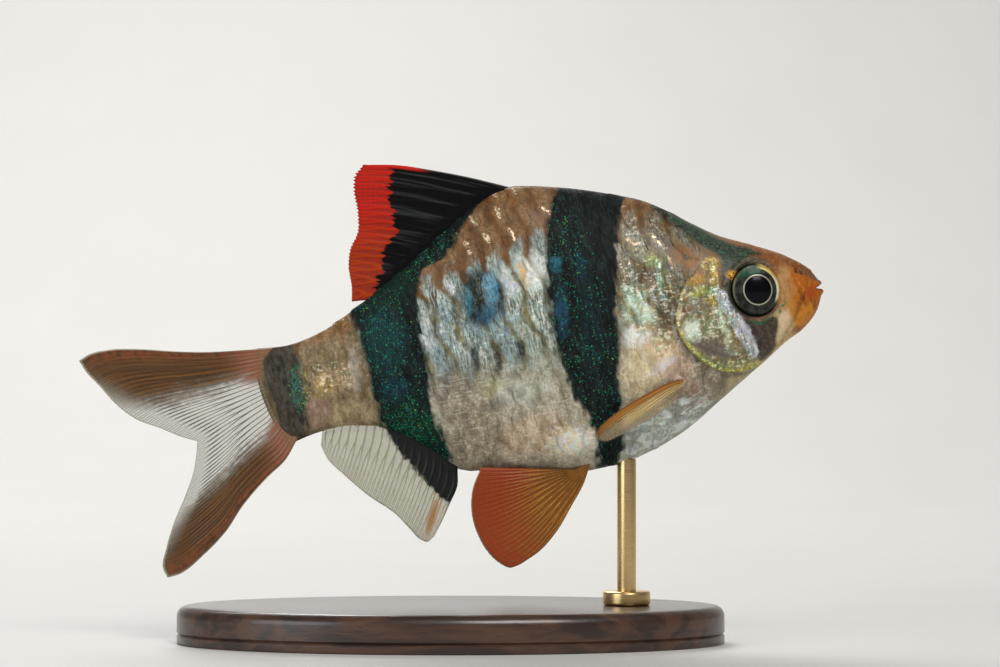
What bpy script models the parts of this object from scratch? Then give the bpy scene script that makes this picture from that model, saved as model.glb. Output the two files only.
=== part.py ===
"""A life-size tiger barb, set head up on a small display stand.

The fish is laid out in its own frame, in millimetres: s is the distance behind the snout, y is to the
fish's left and h is the height above its long axis. POSE turns that frame into metres in the display
pose: +X to the snout, +Z up, with the origin under the middle of the stand, on its lowest face.
"""

import math

import bmesh
import bpy
import numpy as np
from mathutils import Matrix, Vector

MM = 0.001
GAP = 0.3

# The display pose
PITCH = math.radians(12.0)
SNOUT_X = 31.02
SNOUT_Z = 30.0

# The body's outline from the side, as (s, h), and its half width, as (s, y)
BACK = ((-0.2, 0.1), (0.0, 0.62), (0.6, 1.6), (2.3, 3.1), (4.9, 4.6), (7.4, 5.9), (9.3, 7.3), (11.2, 8.9),
        (13.2, 10.3), (15.4, 11.3), (17.4, 12.1), (19.8, 12.9), (24.1, 13.7), (26.5, 13.1), (29.0, 11.8),
        (33.5, 9.2), (38.5, 6.5), (41.5, 5.2), (44.5, 4.6), (48.4, 5.0))
BELLY = ((-0.2, -0.4), (0.0, -0.95), (0.7, -2.0), (2.1, -3.2), (4.0, -4.0), (6.2, -5.1), (10.2, -7.7),
         (13.9, -9.8), (17.2, -10.9), (20.5, -11.35), (22.6, -11.3), (26.4, -10.4), (30.3, -9.6),
         (32.6, -9.0), (34.4, -7.2), (36.4, -5.4), (39.0, -3.9), (41.7, -3.35), (43.5, -3.4), (48.4, -4.4))
HALF_WIDTH = ((-0.2, 0.35), (0.0, 0.8), (0.6, 1.3), (1.5, 1.8), (3.0, 2.45), (5.2, 3.1), (8.0, 3.7),
              (11.0, 4.2), (14.0, 4.5), (18.0, 4.65), (22.0, 4.5), (27.0, 3.9), (32.0, 2.95), (37.0, 2.1),
              (42.0, 1.4), (45.0, 1.05), (48.4, 0.75))
# How far up the section its widest level is, and how much its two halves draw in to a keel
WIDEST = ((-0.2, 0.5), (5.0, 0.5), (12.0, 0.5), (22.0, 0.47), (34.0, 0.5), (48.4, 0.5))
BACK_KEEL = ((-0.2, -0.25), (5.0, -0.12), (10.0, 0.1), (16.0, 0.26), (34.0, 0.2), (48.4, 0.0))
BELLY_KEEL = ((-0.2, -0.25), (5.0, 0.05), (12.0, 0.16), (22.0, 0.02), (34.0, 0.12), (48.4, 0.0))
HEAD_STATIONS = 22
TRUNK_STATIONS = 24
BODY_SIDES = 32

# The lines that part the body, as (s, h): behind the gill covers, behind the dorsal fin and at the tail
GILL_LINE = ((10.6, 11.0), (9.6, 6.6), (9.35, 5.0), (10.45, 3.95), (11.65, 2.85), (12.6, 1.1), (13.05, -0.4),
             (12.65, -2.6), (11.85, -3.95), (10.6, -5.25), (9.2, -6.0), (8.0, -6.6), (7.2, -8.0))
VENT_LINE = ((40.2, 9.0), (38.9, 6.2), (36.0, -1.0), (32.95, -8.6), (32.3, -11.0))
TAIL_BASE = ((46.6, 6.0), (46.85, 4.8), (47.3, 3.2), (47.35, 1.6), (47.1, -0.4), (46.5, -2.6), (45.8, -4.1),
             (45.2, -5.2))

# The head
EYE_S, EYE_H = 5.45, 0.79
EYE_RADIUS = 2.35
EYE_DEPTH = 1.2
EYE_SUNK = 0.5
EYE_TURN = math.radians(13.0)
RIM_RADIUS = 2.55
RIM_THICK = 0.44
MOUTH_LINE = ((-0.9, 0.1), (0.0, 0.02), (0.6, -0.18), (1.4, -0.6), (2.2, -1.05))
JAW_LINE = ((2.2, -1.05), (2.7, -1.7), (3.2, -2.7), (3.5, -5.0))
LIP_THICK = 0.6
LIP_FRONT = 0.08
LIP_SUNK = 0.12
NOSTRILS = ((1.6, 1.3, 0.2), (2.1, 1.75, 0.32))
NOSTRIL_DEPTH = 0.5
GILL_FRONT = ((8.75, 4.3), (8.5, 3.0), (8.55, 1.6), (8.2, 0.4), (7.75, -1.4), (7.15, -3.2), (6.7, -4.5),
              (6.5, -5.05))
GILL_REAR = ((9.05, 4.4), (10.1, 3.5), (11.3, 2.5), (12.2, 1.0), (12.7, -0.4), (12.3, -2.4), (11.6, -3.6),
             (10.4, -4.8), (9.1, -5.45), (7.8, -5.55), (6.6, -5.25))
GILL_PROUD = 0.22
GILL_THICK = 0.62

# The fins, each as four lines of (s, h): its base, its free margin, its first ray and its last ray
DORSAL = {
    "base": ((24.1, 13.7), (26.5, 13.1), (29.0, 11.8), (33.5, 9.2), (37.9, 6.8)),
    "margin": ((35.4, 17.95), (36.3, 17.3), (36.7, 16.0), (36.75, 14.2), (37.1, 12.5), (38.0, 11.2),
               (38.45, 9.7), (38.5, 8.2), (38.75, 6.9)),
    "first": ((24.1, 13.7), (26.9, 15.05), (30.0, 16.35), (32.4, 17.25), (35.4, 17.95)),
    "last": ((37.9, 6.8), (38.75, 6.9)),
}
ANAL = {
    "base": ((33.0, -8.9), (34.4, -7.2), (36.4, -5.4), (39.0, -3.9), (41.7, -3.35), (43.5, -3.4)),
    "margin": ((36.6, -14.25), (37.4, -13.8), (37.9, -12.9), (38.7, -11.6), (41.0, -9.1), (42.5, -7.1),
               (43.5, -5.6), (43.8, -4.4)),
    "first": ((33.0, -8.9), (33.3, -9.9), (34.2, -11.4), (35.4, -13.0), (36.6, -14.25)),
    "last": ((43.5, -3.4), (43.8, -4.4)),
}
TAIL_UPPER = {
    "base": ((46.85, 4.6), (47.3, 3.2), (47.35, 1.6), (47.25, 0.6)),
    "margin": ((62.3, 6.8), (62.0, 5.9), (61.1, 4.4), (59.9, 2.4), (58.5, 0.9), (56.7, -0.2),
               (55.4, -1.1), (53.9, -1.75)),
    "first": ((46.85, 4.6), (49.4, 4.95), (51.8, 5.35), (54.1, 5.9), (57.2, 6.75), (59.6, 7.2),
              (61.4, 7.15), (62.3, 6.8)),
    "last": ((47.25, 0.6), (50.6, -0.5), (53.9, -1.75)),
}
TAIL_LOWER = {
    "base": ((47.2, 0.3), (47.1, -0.6), (46.5, -2.6), (45.95, -3.85)),
    "margin": ((53.9, -2.05), (54.2, -2.9), (54.8, -4.4), (55.9, -6.2), (57.3, -8.2), (58.4, -10.2),
               (59.0, -11.7), (58.8, -12.6)),
    "first": ((47.2, 0.3), (50.6, -0.8), (53.9, -2.05)),
    "last": ((45.95, -3.85), (46.9, -4.9), (48.8, -6.1), (51.4, -8.1), (53.0, -9.7), (55.3, -11.3),
             (57.7, -12.5), (58.8, -12.6)),
}
PELVIC = {
    "base": ((22.3, -11.1), (23.2, -10.95), (24.1, -10.75)),
    "margin": ((29.9, -17.9), (31.0, -17.5), (31.9, -16.2), (32.4, -14.6), (32.6, -12.8), (32.4, -11.4),
               (31.7, -10.3)),
    "first": ((22.3, -11.1), (22.6, -11.9), (24.3, -13.9), (26.0, -15.8), (27.8, -17.1), (29.9, -17.9)),
    "last": ((24.1, -10.75), (27.5, -10.6), (31.7, -10.3)),
}
PECTORAL = {
    "base": ((12.5, -5.15), (12.9, -5.7), (13.3, -6.3)),
    "margin": ((20.9, -7.75), (21.2, -8.25), (21.0, -8.7), (20.4, -8.95), (19.4, -8.75), (18.2, -8.4)),
    "first": ((12.5, -5.15), (14.4, -5.25), (16.0, -5.65), (18.5, -6.5), (20.1, -7.25), (20.9, -7.75)),
    "last": ((13.3, -6.3), (15.2, -7.4), (18.2, -8.4)),
}
DORSAL_RAYS, ANAL_RAYS, TAIL_RAYS, PELVIC_RAYS, PECTORAL_RAYS = 9, 8, 9, 8, 8
DORSAL_ROWS, ANAL_ROWS, TAIL_ROWS, PELVIC_ROWS, PECTORAL_ROWS = 7, 6, 8, 6, 5
ROOT_SUNK = 1.0
WEB_THICK = 0.5
RAY_THICK = 0.8
ROOT_THICK = 0.8
MARGIN_THICK = 0.36

# The stand
PLINTH_LENGTH, PLINTH_WIDTH, PLINTH_HEIGHT = 46.0, 27.0, 3.2
PLINTH_EDGE = 0.9
ROD_RADIUS = 0.8
ROD_S = 19.0
ROD_SOCKET = 2.0
COLLAR_RADIUS, COLLAR_HEIGHT = 2.0, 0.9

POSE = Matrix.Translation((SNOUT_X * MM, 0.0, SNOUT_Z * MM)) @ Matrix.Rotation(-PITCH, 4, "Y")
LEFT, RIGHT = 1.0, -1.0


def set_in_pose(point):
    """Where a point (s, y, h) of the fish's frame is, in metres, in the display pose."""
    s, y, h = point
    return POSE @ Vector((-s * MM, y * MM, h * MM))


def smooth_line(points, count):
    """Evenly spaced points on a smooth curve through the given ones."""
    known = np.array(points, float)
    if len(known) == 2:
        return known[0] + np.linspace(0, 1, count)[:, None] * (known[1] - known[0])
    place = np.concatenate([[0], np.cumsum(np.linalg.norm(np.diff(known, axis=0), axis=1))])
    slope = np.gradient(known, place, axis=0)
    fine = []
    for k in range(len(known) - 1):
        step = place[k + 1] - place[k]
        t = np.linspace(0, 1, 25)[:, None]
        fine.append((2 * t**3 - 3 * t**2 + 1) * known[k] + (t**3 - 2 * t**2 + t) * step * slope[k]
                    + (3 * t**2 - 2 * t**3) * known[k + 1] + (t**3 - t**2) * step * slope[k + 1])
    fine = np.concatenate(fine)
    place = np.concatenate([[0], np.cumsum(np.linalg.norm(np.diff(fine, axis=0), axis=1))])
    even = np.linspace(0, place[-1], count)
    return np.stack([np.interp(even, place, fine[:, k]) for k in range(fine.shape[1])], axis=1)


def smooth_value(points):
    """A function of s through the given (s, value) points."""
    fine = smooth_line(points, 400)
    return lambda s: float(np.interp(s, fine[:, 0], fine[:, 1]))


back_at, belly_at, half_width_at = smooth_value(BACK), smooth_value(BELLY), smooth_value(HALF_WIDTH)
widest_at, back_keel_at, belly_keel_at = smooth_value(WIDEST), smooth_value(BACK_KEEL), smooth_value(BELLY_KEEL)


def section(s, grow=0.0):
    """The top, bottom, half width and widest level of the body at a station, all grown outwards."""
    top, bottom = back_at(s) + grow, belly_at(s) - grow
    return top, bottom, half_width_at(s) + grow, bottom + (top - bottom) * widest_at(s)


def across_section(s, lift):
    """The share of the half width that the section has at a height, lift, from -1 at its foot to 1."""
    keel = back_keel_at(s) if lift > 0 else belly_keel_at(s)
    return math.sqrt(max(0.0, 1 - lift * lift)) * (1 - keel * lift * lift)


def body_ring(s, grow=0.0):
    """One closed cross-section of the body, from its back down the right side and up the left."""
    top, bottom, half, level = section(s, grow)
    ring = []
    for k in range(BODY_SIDES):
        angle = math.pi / 2 + 2 * math.pi * (k + 0.5) / BODY_SIDES
        lift = math.sin(angle)
        side = RIGHT if math.cos(angle) < 0 else LEFT
        reach = top - level if lift > 0 else level - bottom
        ring.append((s, side * half * across_section(s, lift), level + reach * lift))
    return ring


def side_y(s, h, grow=0.0):
    """How far the body's surface is from its middle plane at a station and a height."""
    top, bottom, half, level = section(s, grow)
    lift = (h - level) / (top - level if h > level else level - bottom)
    return half * across_section(s, max(-1.0, min(1.0, lift)))


def beside(line, distance):
    """The same line set off to its left, as (s, h), by a distance."""
    along = np.gradient(line, axis=0)
    along /= np.linalg.norm(along, axis=1)[:, None]
    return line + distance * np.stack([-along[:, 1], along[:, 0]], axis=1)


def new_object(name, bm, look=None):
    """A mesh object made from a bmesh whose points are in the fish's frame."""
    for vert in bm.verts:
        vert.co = set_in_pose(vert.co)
    bmesh.ops.recalc_face_normals(bm, faces=bm.faces)
    mesh = bpy.data.meshes.new(name)
    bm.to_mesh(mesh)
    bm.free()
    obj = bpy.data.objects.new(name, mesh)
    bpy.context.scene.collection.objects.link(obj)
    if look:
        mesh.materials.append(look)
        mesh.shade_smooth()
        mesh.set_sharp_from_angle(angle=math.radians(40))
    return obj


def closed_skin(name, rings, look=None, looped=False):
    """A closed surface over rings of as many points, whose two ends are strips between the ring's halves.

    The halves of a ring mirror each other, and so do the diagonals of their faces.
    """
    bm = bmesh.new()
    rows = [[bm.verts.new(point) for point in ring] for ring in rings]
    count = len(rings[0])
    half = count // 2
    pairs = list(zip(rows, rows[1:]))
    if looped:
        pairs.append((rows[-1], rows[0]))
    for a, b in pairs:
        for k in range(count):
            n = (k + 1) % count
            if k < half:
                corners = ((a[k], a[n], b[n]), (a[k], b[n], b[k]))
            else:
                corners = ((a[k], a[n], b[k]), (a[n], b[n], b[k]))
            for corner in corners:
                bm.faces.new(corner)
    for row in () if looped else (rows[0], rows[-1]):
        for k in range(half - 1):
            bm.faces.new((row[k], row[k + 1], row[count - 2 - k], row[count - 1 - k]))
    return new_object(name, bm, look)


def side_prism(name, outline, reach=20.0):
    """An outline of (s, h) points drawn out across the whole fish."""
    bm = bmesh.new()
    near, far = ([bm.verts.new((s, y, h)) for s, h in outline] for y in (-reach, reach))
    bm.faces.new(near)
    bm.faces.new(far[::-1])
    for k in range(len(near)):
        bm.faces.new((near[k - 1], near[k], far[k], far[k - 1]))
    return new_object(name, bm)


def region_beside(name, points, distance, far_s):
    """Everything between a parting line from top to foot, set off by a distance, and a far station."""
    line = beside(smooth_line(points, 40), distance)
    top, foot = (line[0][0], 25.0), (line[-1][0], -25.0)
    return side_prism(name, [top, *line, foot, (far_s, -25.0), (far_s, 25.0)])


def tube(name, path, radii, sides=8, looped=False):
    """A round tube of changing radius along a path in the fish's frame."""
    path = np.array(path, float)
    if looped:
        along = np.roll(path, -1, axis=0) - np.roll(path, 1, axis=0)
    else:
        along = np.gradient(path, axis=0)
    rings = []
    for point, way, radius in zip(path, along, radii):
        way = Vector(way).normalized()
        across = way.cross(Vector((0, 0, 1))).normalized()
        over = across.cross(way)
        rings.append([
            Vector(point) + float(radius) * (math.cos(a) * across + math.sin(a) * over)
            for a in (2 * math.pi * (k + 0.5) / sides for k in range(sides))
        ])
    return closed_skin(name, rings, looped=looped)


def ball(name, centre, radii, turn=0.0, look=None, segments=20, rings=10):
    """An ellipsoid whose short way points out of the head, turned about the upright."""
    bm = bmesh.new()
    bmesh.ops.create_uvsphere(bm, u_segments=segments, v_segments=rings, radius=1.0)
    across, depth = radii
    place = (Matrix.Translation(centre) @ Matrix.Rotation(turn, 4, "Z")
             @ Matrix.Diagonal((across, depth, across, 1.0)) @ Matrix.Rotation(math.pi / 2, 4, "X"))
    bm.transform(place)
    return new_object(name, bm, look)


def islands(bm):
    """The separate closed surfaces of a bmesh, each as a list of faces."""
    left, found = set(bm.faces), []
    while left:
        edge, island = [left.pop()], []
        while edge:
            face = edge.pop()
            island.append(face)
            for loop in face.loops:
                for near in loop.edge.link_faces:
                    if near in left:
                        left.remove(near)
                        edge.append(near)
        found.append(island)
    return found


def volume_of(faces):
    """The volume inside a closed set of faces."""
    total = 0.0
    for face in faces:
        a, *rest = [vert.co for vert in face.verts]
        total += sum(a.dot(b.cross(c)) for b, c in zip(rest, rest[1:])) / 6
    return abs(total)


def combine(target, others, operation, solver="EXACT"):
    """Joins others to target or cuts them away, then keeps target's largest closed surface."""
    group = bpy.data.collections.new("operands")
    for other in others:
        group.objects.link(other)
    modifier = target.modifiers.new("combine", "BOOLEAN")
    modifier.operation = operation
    modifier.solver = solver
    modifier.operand_type = "COLLECTION"
    modifier.collection = group
    bpy.context.view_layer.update()
    made = bpy.data.meshes.new_from_object(target.evaluated_get(bpy.context.evaluated_depsgraph_get()))
    target.modifiers.clear()
    bm = bmesh.new()
    bm.from_mesh(made)
    parts = sorted(islands(bm), key=volume_of)
    bmesh.ops.delete(bm, geom=[face for part in parts[:-1] for face in part], context="FACES")
    bmesh.ops.triangulate(bm, faces=bm.faces)
    bm.to_mesh(target.data)
    bm.free()
    bpy.data.meshes.remove(made)
    bpy.data.collections.remove(group)


def remove(objects):
    """Takes helper shapes out of the scene."""
    for obj in objects:
        bpy.data.objects.remove(obj)


def finish(name, colour, roughness, metallic=0.0, alpha=1.0):
    """A plain material with a colour, roughness, metal share and see-through share."""
    made = bpy.data.materials.new(name)
    made.use_nodes = True
    shader = made.node_tree.nodes["Principled BSDF"]
    shader.inputs["Base Color"].default_value = (*colour, 1.0)
    shader.inputs["Roughness"].default_value = roughness
    shader.inputs["Metallic"].default_value = metallic
    shader.inputs["Alpha"].default_value = alpha
    return made


def whole_body(name, grow=0.0, look=None):
    """The fish's body from snout to tail base in one piece, without its fins."""
    head_end = GILL_LINE[6][0]
    share = np.linspace(0, 1, HEAD_STATIONS)
    head = BACK[0][0] - grow + (head_end - BACK[0][0] + grow) * share**1.35
    trunk = np.linspace(head_end, BACK[-1][0], TRUNK_STATIONS)[1:]
    return closed_skin(name, [body_ring(s, grow) for s in (*head, *trunk)], look)


def eye_centre(side, sunk=EYE_SUNK):
    """The middle of an eyeball, sunk below the skin beside it."""
    return (EYE_S, side * (side_y(EYE_S, EYE_H) - sunk), EYE_H)


def make_eye(name, side, look):
    """An eyeball, which stands a little out of its socket."""
    return ball(name, eye_centre(side), (EYE_RADIUS, EYE_DEPTH), side * EYE_TURN, look)


def eye_socket(side):
    """The hollow that an eyeball sits in, a gap wider than it all round."""
    return ball("socket", eye_centre(side), (EYE_RADIUS + GAP, EYE_DEPTH + GAP), side * EYE_TURN)


def eye_rim(side):
    """The fold of skin round an eye, as a ring that follows the side of the head."""
    path = []
    for angle in np.linspace(0, 2 * math.pi, 24, endpoint=False):
        s, h = EYE_S + RIM_RADIUS * math.cos(angle), EYE_H + RIM_RADIUS * math.sin(angle)
        path.append((s, side * (side_y(s, h) - 0.06), h))
    return tube("rim", path, [RIM_THICK / 2] * len(path), sides=6, looped=True)


def nostril(side, s, h, radius):
    """A nostril's pit, sunk into the side of the snout."""
    centre = (s, side * side_y(s, h), h)
    return ball("nostril", centre, (radius, NOSTRIL_DEPTH), side * EYE_TURN * 2, segments=10, rings=6)


def lip(lift):
    """A lip as a round fold that follows the mouth line from one corner round the snout to the other."""
    line = smooth_line(MOUTH_LINE[1:], 6)[::-1]
    right = [(s + LIP_FRONT, LIP_SUNK - side_y(s, h + lift), h + lift) for s, h in line]
    front = (LIP_FRONT, 0.0, line[-1][1] + lift)
    path = smooth_line([*right, front, *[(s, -y, h) for s, y, h in right[::-1]]], 19)
    share = np.abs(np.linspace(-1, 1, len(path)))
    return tube("lip", path, LIP_THICK / 2 * (1 - 0.8 * share**4), sides=6)


def jaw_region(name, distance):
    """Everything below the mouth line and ahead of the jaw's back edge, set off by a distance."""
    mouth = smooth_line(MOUTH_LINE, 16)
    jaw = smooth_line(JAW_LINE, 12)[1:]
    line = beside(np.concatenate([mouth, jaw]), distance)
    return side_prism(name, [*line, (-2.0, line[-1][1]), (-2.0, line[0][1])])


def gill_cover(name, side, look=None, spare=0.0, rows=12, columns=6):
    """A gill cover's plate from its top to its foot, or with spare the hollow that it lies in."""
    front = beside(smooth_line(GILL_FRONT, rows), -spare)
    rear = beside(smooth_line(GILL_REAR, rows), spare)
    front[0, 1] += spare
    front[-1, 1] -= spare
    rear[0, 1] += spare
    rear[-1, 1] -= spare
    rings = []
    for a, b in zip(front, rear):
        outer, inner = [], []
        for u in np.linspace(0, 1, columns):
            s, h = a + (b - a) * u
            bulge = 0.12 * math.sin(math.pi * u)
            face = side_y(s, h) + (3.0 if spare else GILL_PROUD + bulge)
            outer.append((s, side * face, h))
            inner.append((s, side * (side_y(s, h) + GILL_PROUD - GILL_THICK - spare), h))
        rings.append(outer + inner[::-1])
    return closed_skin(name, rings, look)


def fin_sheet(lines, across, along, sunk):
    """Rows of (s, h) points that fill a fin's four lines, with v, from its sunk base to its margin."""
    base, margin = smooth_line(lines["base"], across), smooth_line(lines["margin"], across)
    first, last = smooth_line(lines["first"], along), smooth_line(lines["last"], along)
    u = np.linspace(0, 1, across)[:, None]
    rows = []
    for k, v in enumerate(np.linspace(0, 1, along)):
        corners = ((1 - v) * ((1 - u) * base[0] + u * base[-1]) + v * ((1 - u) * margin[0] + u * margin[-1]))
        rows.append((1 - v) * base + v * margin + (1 - u) * first[k] + u * last[k] - corners)
    if sunk:
        inwards = rows[0] - rows[1]
        inwards /= np.linalg.norm(inwards, axis=1)[:, None]
        rows.insert(0, rows[0] + sunk * inwards)
    return rows, ([0.0] if sunk else []) + list(np.linspace(0, 1, along))


def ray_relief(u, v, rays):
    """The share of a ray's height at u: one ridge a ray at its root, forked to two at the margin.

    The fin's leading edge is a ray of its own, which doesn't fork.
    """
    place = (u * rays) % 1.0
    fork = min(1.0, max(0.0, 1.6 * v - 0.5))
    middle = max(0.0, 1 - abs(place - 0.5) * 4) * (1 - fork)
    branches = max(0.0, 1 - abs(abs(place - 0.5) - 0.25) * 4) * (0.55 + 0.45 * fork)
    leading = max(0.0, 1 - 4 * u * rays)
    return max(middle, branches, leading)


def make_fin(name, lines, rays, rows, look, side_of, sunk=ROOT_SUNK, root=ROOT_THICK):
    """A fin as a thin sheet whose rays are ridges in both of its faces.

    side_of gives the y of the sheet's middle for u and v, from 0 to 1 across and along its rays, and s, h.
    """
    across = 4 * rays + 1
    sheet, along = fin_sheet(lines, across, rows, sunk)
    rings = []
    for row, v in zip(sheet, along):
        web = MARGIN_THICK if v == 1.0 else WEB_THICK + (root - WEB_THICK) * max(0.0, 1 - 2.5 * v)
        ridge = (RAY_THICK - WEB_THICK) * (1 - 0.5 * v)
        right, left = [], []
        for u, (s, h) in zip(np.linspace(0, 1, across), row):
            half = (web + ridge * ray_relief(u, v, rays)) / 2
            y = side_of(u, v, s, h)
            right.append((s, y - half, h))
            left.append((s, y + half, h))
        rings.append(right + left[::-1])
    return closed_skin(name, rings, look)


def dorsal_sway(u, v, s, h):
    """The dorsal fin's slight pleats, which fade at its base."""
    return 0.1 * v * math.sin(9 * math.pi * u)


def anal_sway(u, v, s, h):
    """The anal fin's ripple, which fades at its base."""
    return 0.16 * v * math.sin(7 * math.pi * u)


def tail_sway(u, v, s, h):
    """The tail fin's sweep to the left, which grows with the square of the distance behind its base."""
    return 0.0045 * (s - TAIL_BASE[3][0]) ** 2


def pelvic_lie(side, spread):
    """A pelvic fin's lean: out from the belly's edge, further out at the first ray's tip."""
    return lambda u, v, s, h: side * (1.15 + spread * v * (1.0 - 0.35 * u) + 0.12 * v * math.sin(9 * u))


def pectoral_lie(side):
    """A pectoral fin's lie: along the flank, standing off more towards its tip."""
    return lambda u, v, s, h: side * (side_y(s, h) - 0.5 + 1.7 * math.sqrt(v) + 0.5 * v * u)


def turned(lines, pivot, angle):
    """A fin's lines turned about a point of the side view."""
    c, s = math.cos(angle), math.sin(angle)
    spin = np.array([[c, s], [-s, c]])
    return {key: (np.array(line) - pivot) @ spin + pivot for key, line in lines.items()}


def cylinder(name, centre, radius, height, sides, look=None):
    """An upright cylinder, in millimetres of the display frame."""
    bpy.ops.mesh.primitive_cylinder_add(
        vertices=sides, radius=radius * MM, depth=height * MM, location=Vector(centre) * MM)
    obj = bpy.context.object
    obj.name = obj.data.name = name
    if look:
        obj.data.materials.append(look)
        obj.data.shade_smooth()
        obj.data.set_sharp_from_angle(angle=math.radians(40))
    return obj


def make_stand(wood, brass, body_clearance):
    """An oval plinth with a brass collar and one rod up to the belly."""
    rod_x = set_in_pose((ROD_S, 0.0, belly_at(ROD_S))).x / MM
    rod_top = set_in_pose((ROD_S, 0.0, belly_at(ROD_S))).z / MM + 0.5
    plinth = cylinder("stand_plinth", (0, 0, PLINTH_HEIGHT / 2), 1.0, PLINTH_HEIGHT, 56, wood)
    plinth.data.transform(Matrix.Diagonal((PLINTH_LENGTH / 2, PLINTH_WIDTH / 2, 1.0, 1.0)))
    edge = plinth.modifiers.new("edge", "BEVEL")
    edge.width = PLINTH_EDGE * MM
    edge.segments = 2
    edge.limit_method = "ANGLE"
    edge.angle_limit = math.radians(60)
    floor = PLINTH_HEIGHT - ROD_SOCKET
    hole = cylinder("hole", (rod_x, 0, floor + 3), ROD_RADIUS + GAP, 6.0, 16)
    combine(plinth, [hole], "DIFFERENCE")
    low = floor + GAP
    rod = cylinder("stand_rod", (rod_x, 0, (low + rod_top) / 2), ROD_RADIUS, rod_top - low, 16, brass)
    combine(rod, [body_clearance], "DIFFERENCE")
    foot = PLINTH_HEIGHT + GAP
    collar = cylinder("stand_collar", (rod_x, 0, foot + COLLAR_HEIGHT / 2), COLLAR_RADIUS, COLLAR_HEIGHT, 24, brass)
    combine(collar, [hole], "DIFFERENCE")
    remove([hole])


def make_body(skin, horn):
    """The head, jaw, gill covers, trunk and tail stalk, parted from one whole body by thin cuts."""
    behind_gills = region_beside("behind_gills", GILL_LINE, 0.0, 60.0)
    before_trunk = region_beside("before_trunk", GILL_LINE, GAP, -5.0)
    behind_vent = region_beside("behind_vent", VENT_LINE, 0.0, 60.0)
    before_stalk = region_beside("before_stalk", VENT_LINE, GAP, -5.0)
    behind_tail = region_beside("behind_tail", TAIL_BASE, 0.0, 60.0)
    around_jaw = jaw_region("around_jaw", 0.5 * GAP)
    jaw_space = jaw_region("jaw_space", -0.5 * GAP)
    sockets = [eye_socket(side) for side in (RIGHT, LEFT)]
    rims = [eye_rim(side) for side in (RIGHT, LEFT)]
    pits = [nostril(side, *place) for side in (RIGHT, LEFT) for place in NOSTRILS]
    hollows = [gill_cover("hollow", side, spare=GAP) for side in (RIGHT, LEFT)]
    upper_lip, lower_lip = lip(LIP_THICK / 2 + 0.05), lip(-LIP_THICK / 2 - 0.05)

    head = whole_body("head", look=skin)
    combine(head, [upper_lip, *rims], "UNION")
    combine(head, [behind_gills, around_jaw, *sockets, *pits, *hollows], "DIFFERENCE")
    jaw = whole_body("lower_jaw", look=skin)
    combine(jaw, [lower_lip], "UNION")
    combine(jaw, [jaw_space], "INTERSECT")
    trunk = whole_body("trunk", look=skin)
    combine(trunk, [before_trunk, behind_vent], "DIFFERENCE")
    stalk = whole_body("tail_stalk", look=skin)
    combine(stalk, [before_stalk, behind_tail], "DIFFERENCE")
    for name, side in (("gill_cover_right", RIGHT), ("gill_cover_left", LEFT)):
        gill_cover(name, side, horn)
    remove([behind_gills, before_trunk, behind_vent, before_stalk, behind_tail, around_jaw, jaw_space,
            upper_lip, lower_lip, *sockets, *rims, *pits, *hollows])


def make_fins(looks, body_clearance):
    """The unpaired and the paired fins, with their roots cut to lie against the body."""
    dorsal = make_fin("dorsal_fin", DORSAL, DORSAL_RAYS, DORSAL_ROWS, looks["dorsal"], dorsal_sway)
    anal = make_fin("anal_fin", ANAL, ANAL_RAYS, ANAL_ROWS, looks["clear"], anal_sway)
    before_tail = region_beside("before_tail", TAIL_BASE, GAP, -5.0)
    for name, lines in (("tail_fin_upper", TAIL_UPPER), ("tail_fin_lower", TAIL_LOWER)):
        lobe = make_fin(name, lines, TAIL_RAYS, TAIL_ROWS, looks["amber"], tail_sway, root=1.0)
        combine(lobe, [before_tail], "DIFFERENCE", "MANIFOLD")
    remove([before_tail])
    fins = [dorsal, anal]
    for name, side, spread, turn in (("right", RIGHT, 1.5, 0.0), ("left", LEFT, 2.0, math.radians(-7))):
        lines = turned(PELVIC, PELVIC["base"][0], turn)
        fins.append(make_fin(f"pelvic_fin_{name}", lines, PELVIC_RAYS, PELVIC_ROWS, looks["amber"],
                             pelvic_lie(side, spread)))
        fins.append(make_fin(f"pectoral_fin_{name}", PECTORAL, PECTORAL_RAYS, PECTORAL_ROWS, looks["clear"],
                             pectoral_lie(side)))
    for fin in fins:
        combine(fin, [body_clearance], "DIFFERENCE", "MANIFOLD")


def main():
    for obj in list(bpy.data.objects):
        bpy.data.objects.remove(obj)
    skin = finish("silver and black skin", (0.62, 0.56, 0.47), 0.35)
    plate = finish("gill cover silver", (0.70, 0.68, 0.52), 0.25)
    eye = finish("dark glass eye", (0.02, 0.02, 0.025), 0.05)
    fin_looks = {
        "dorsal": finish("black and red fin", (0.10, 0.02, 0.02), 0.45),
        "amber": finish("amber fin", (0.62, 0.20, 0.05), 0.4, alpha=0.85),
        "clear": finish("clear fin", (0.62, 0.55, 0.38), 0.35, alpha=0.6),
    }
    wood = finish("dark wood", (0.09, 0.05, 0.03), 0.45)
    brass = finish("brass", (0.72, 0.52, 0.24), 0.28, metallic=1.0)
    body_clearance = whole_body("body_clearance", grow=GAP)
    make_body(skin, plate)
    for name, side in (("eye_right", RIGHT), ("eye_left", LEFT)):
        make_eye(name, side, eye)
    make_fins(fin_looks, body_clearance)
    make_stand(wood, brass, body_clearance)
    remove([body_clearance])


if __name__ == "__main__":
    main()
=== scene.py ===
"""The looks of the tiger barb display model: its skin, scales, fins, eyes, stand and studio.

The fish is laid out in the frame that its solids use, in millimetres: s is the distance behind the snout,
y is to the fish's left and h is the height above its long axis. in_pose turns that frame into metres in
the display pose: +X to the snout, +Z up, with the origin under the middle of the stand.
"""

import math

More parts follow.
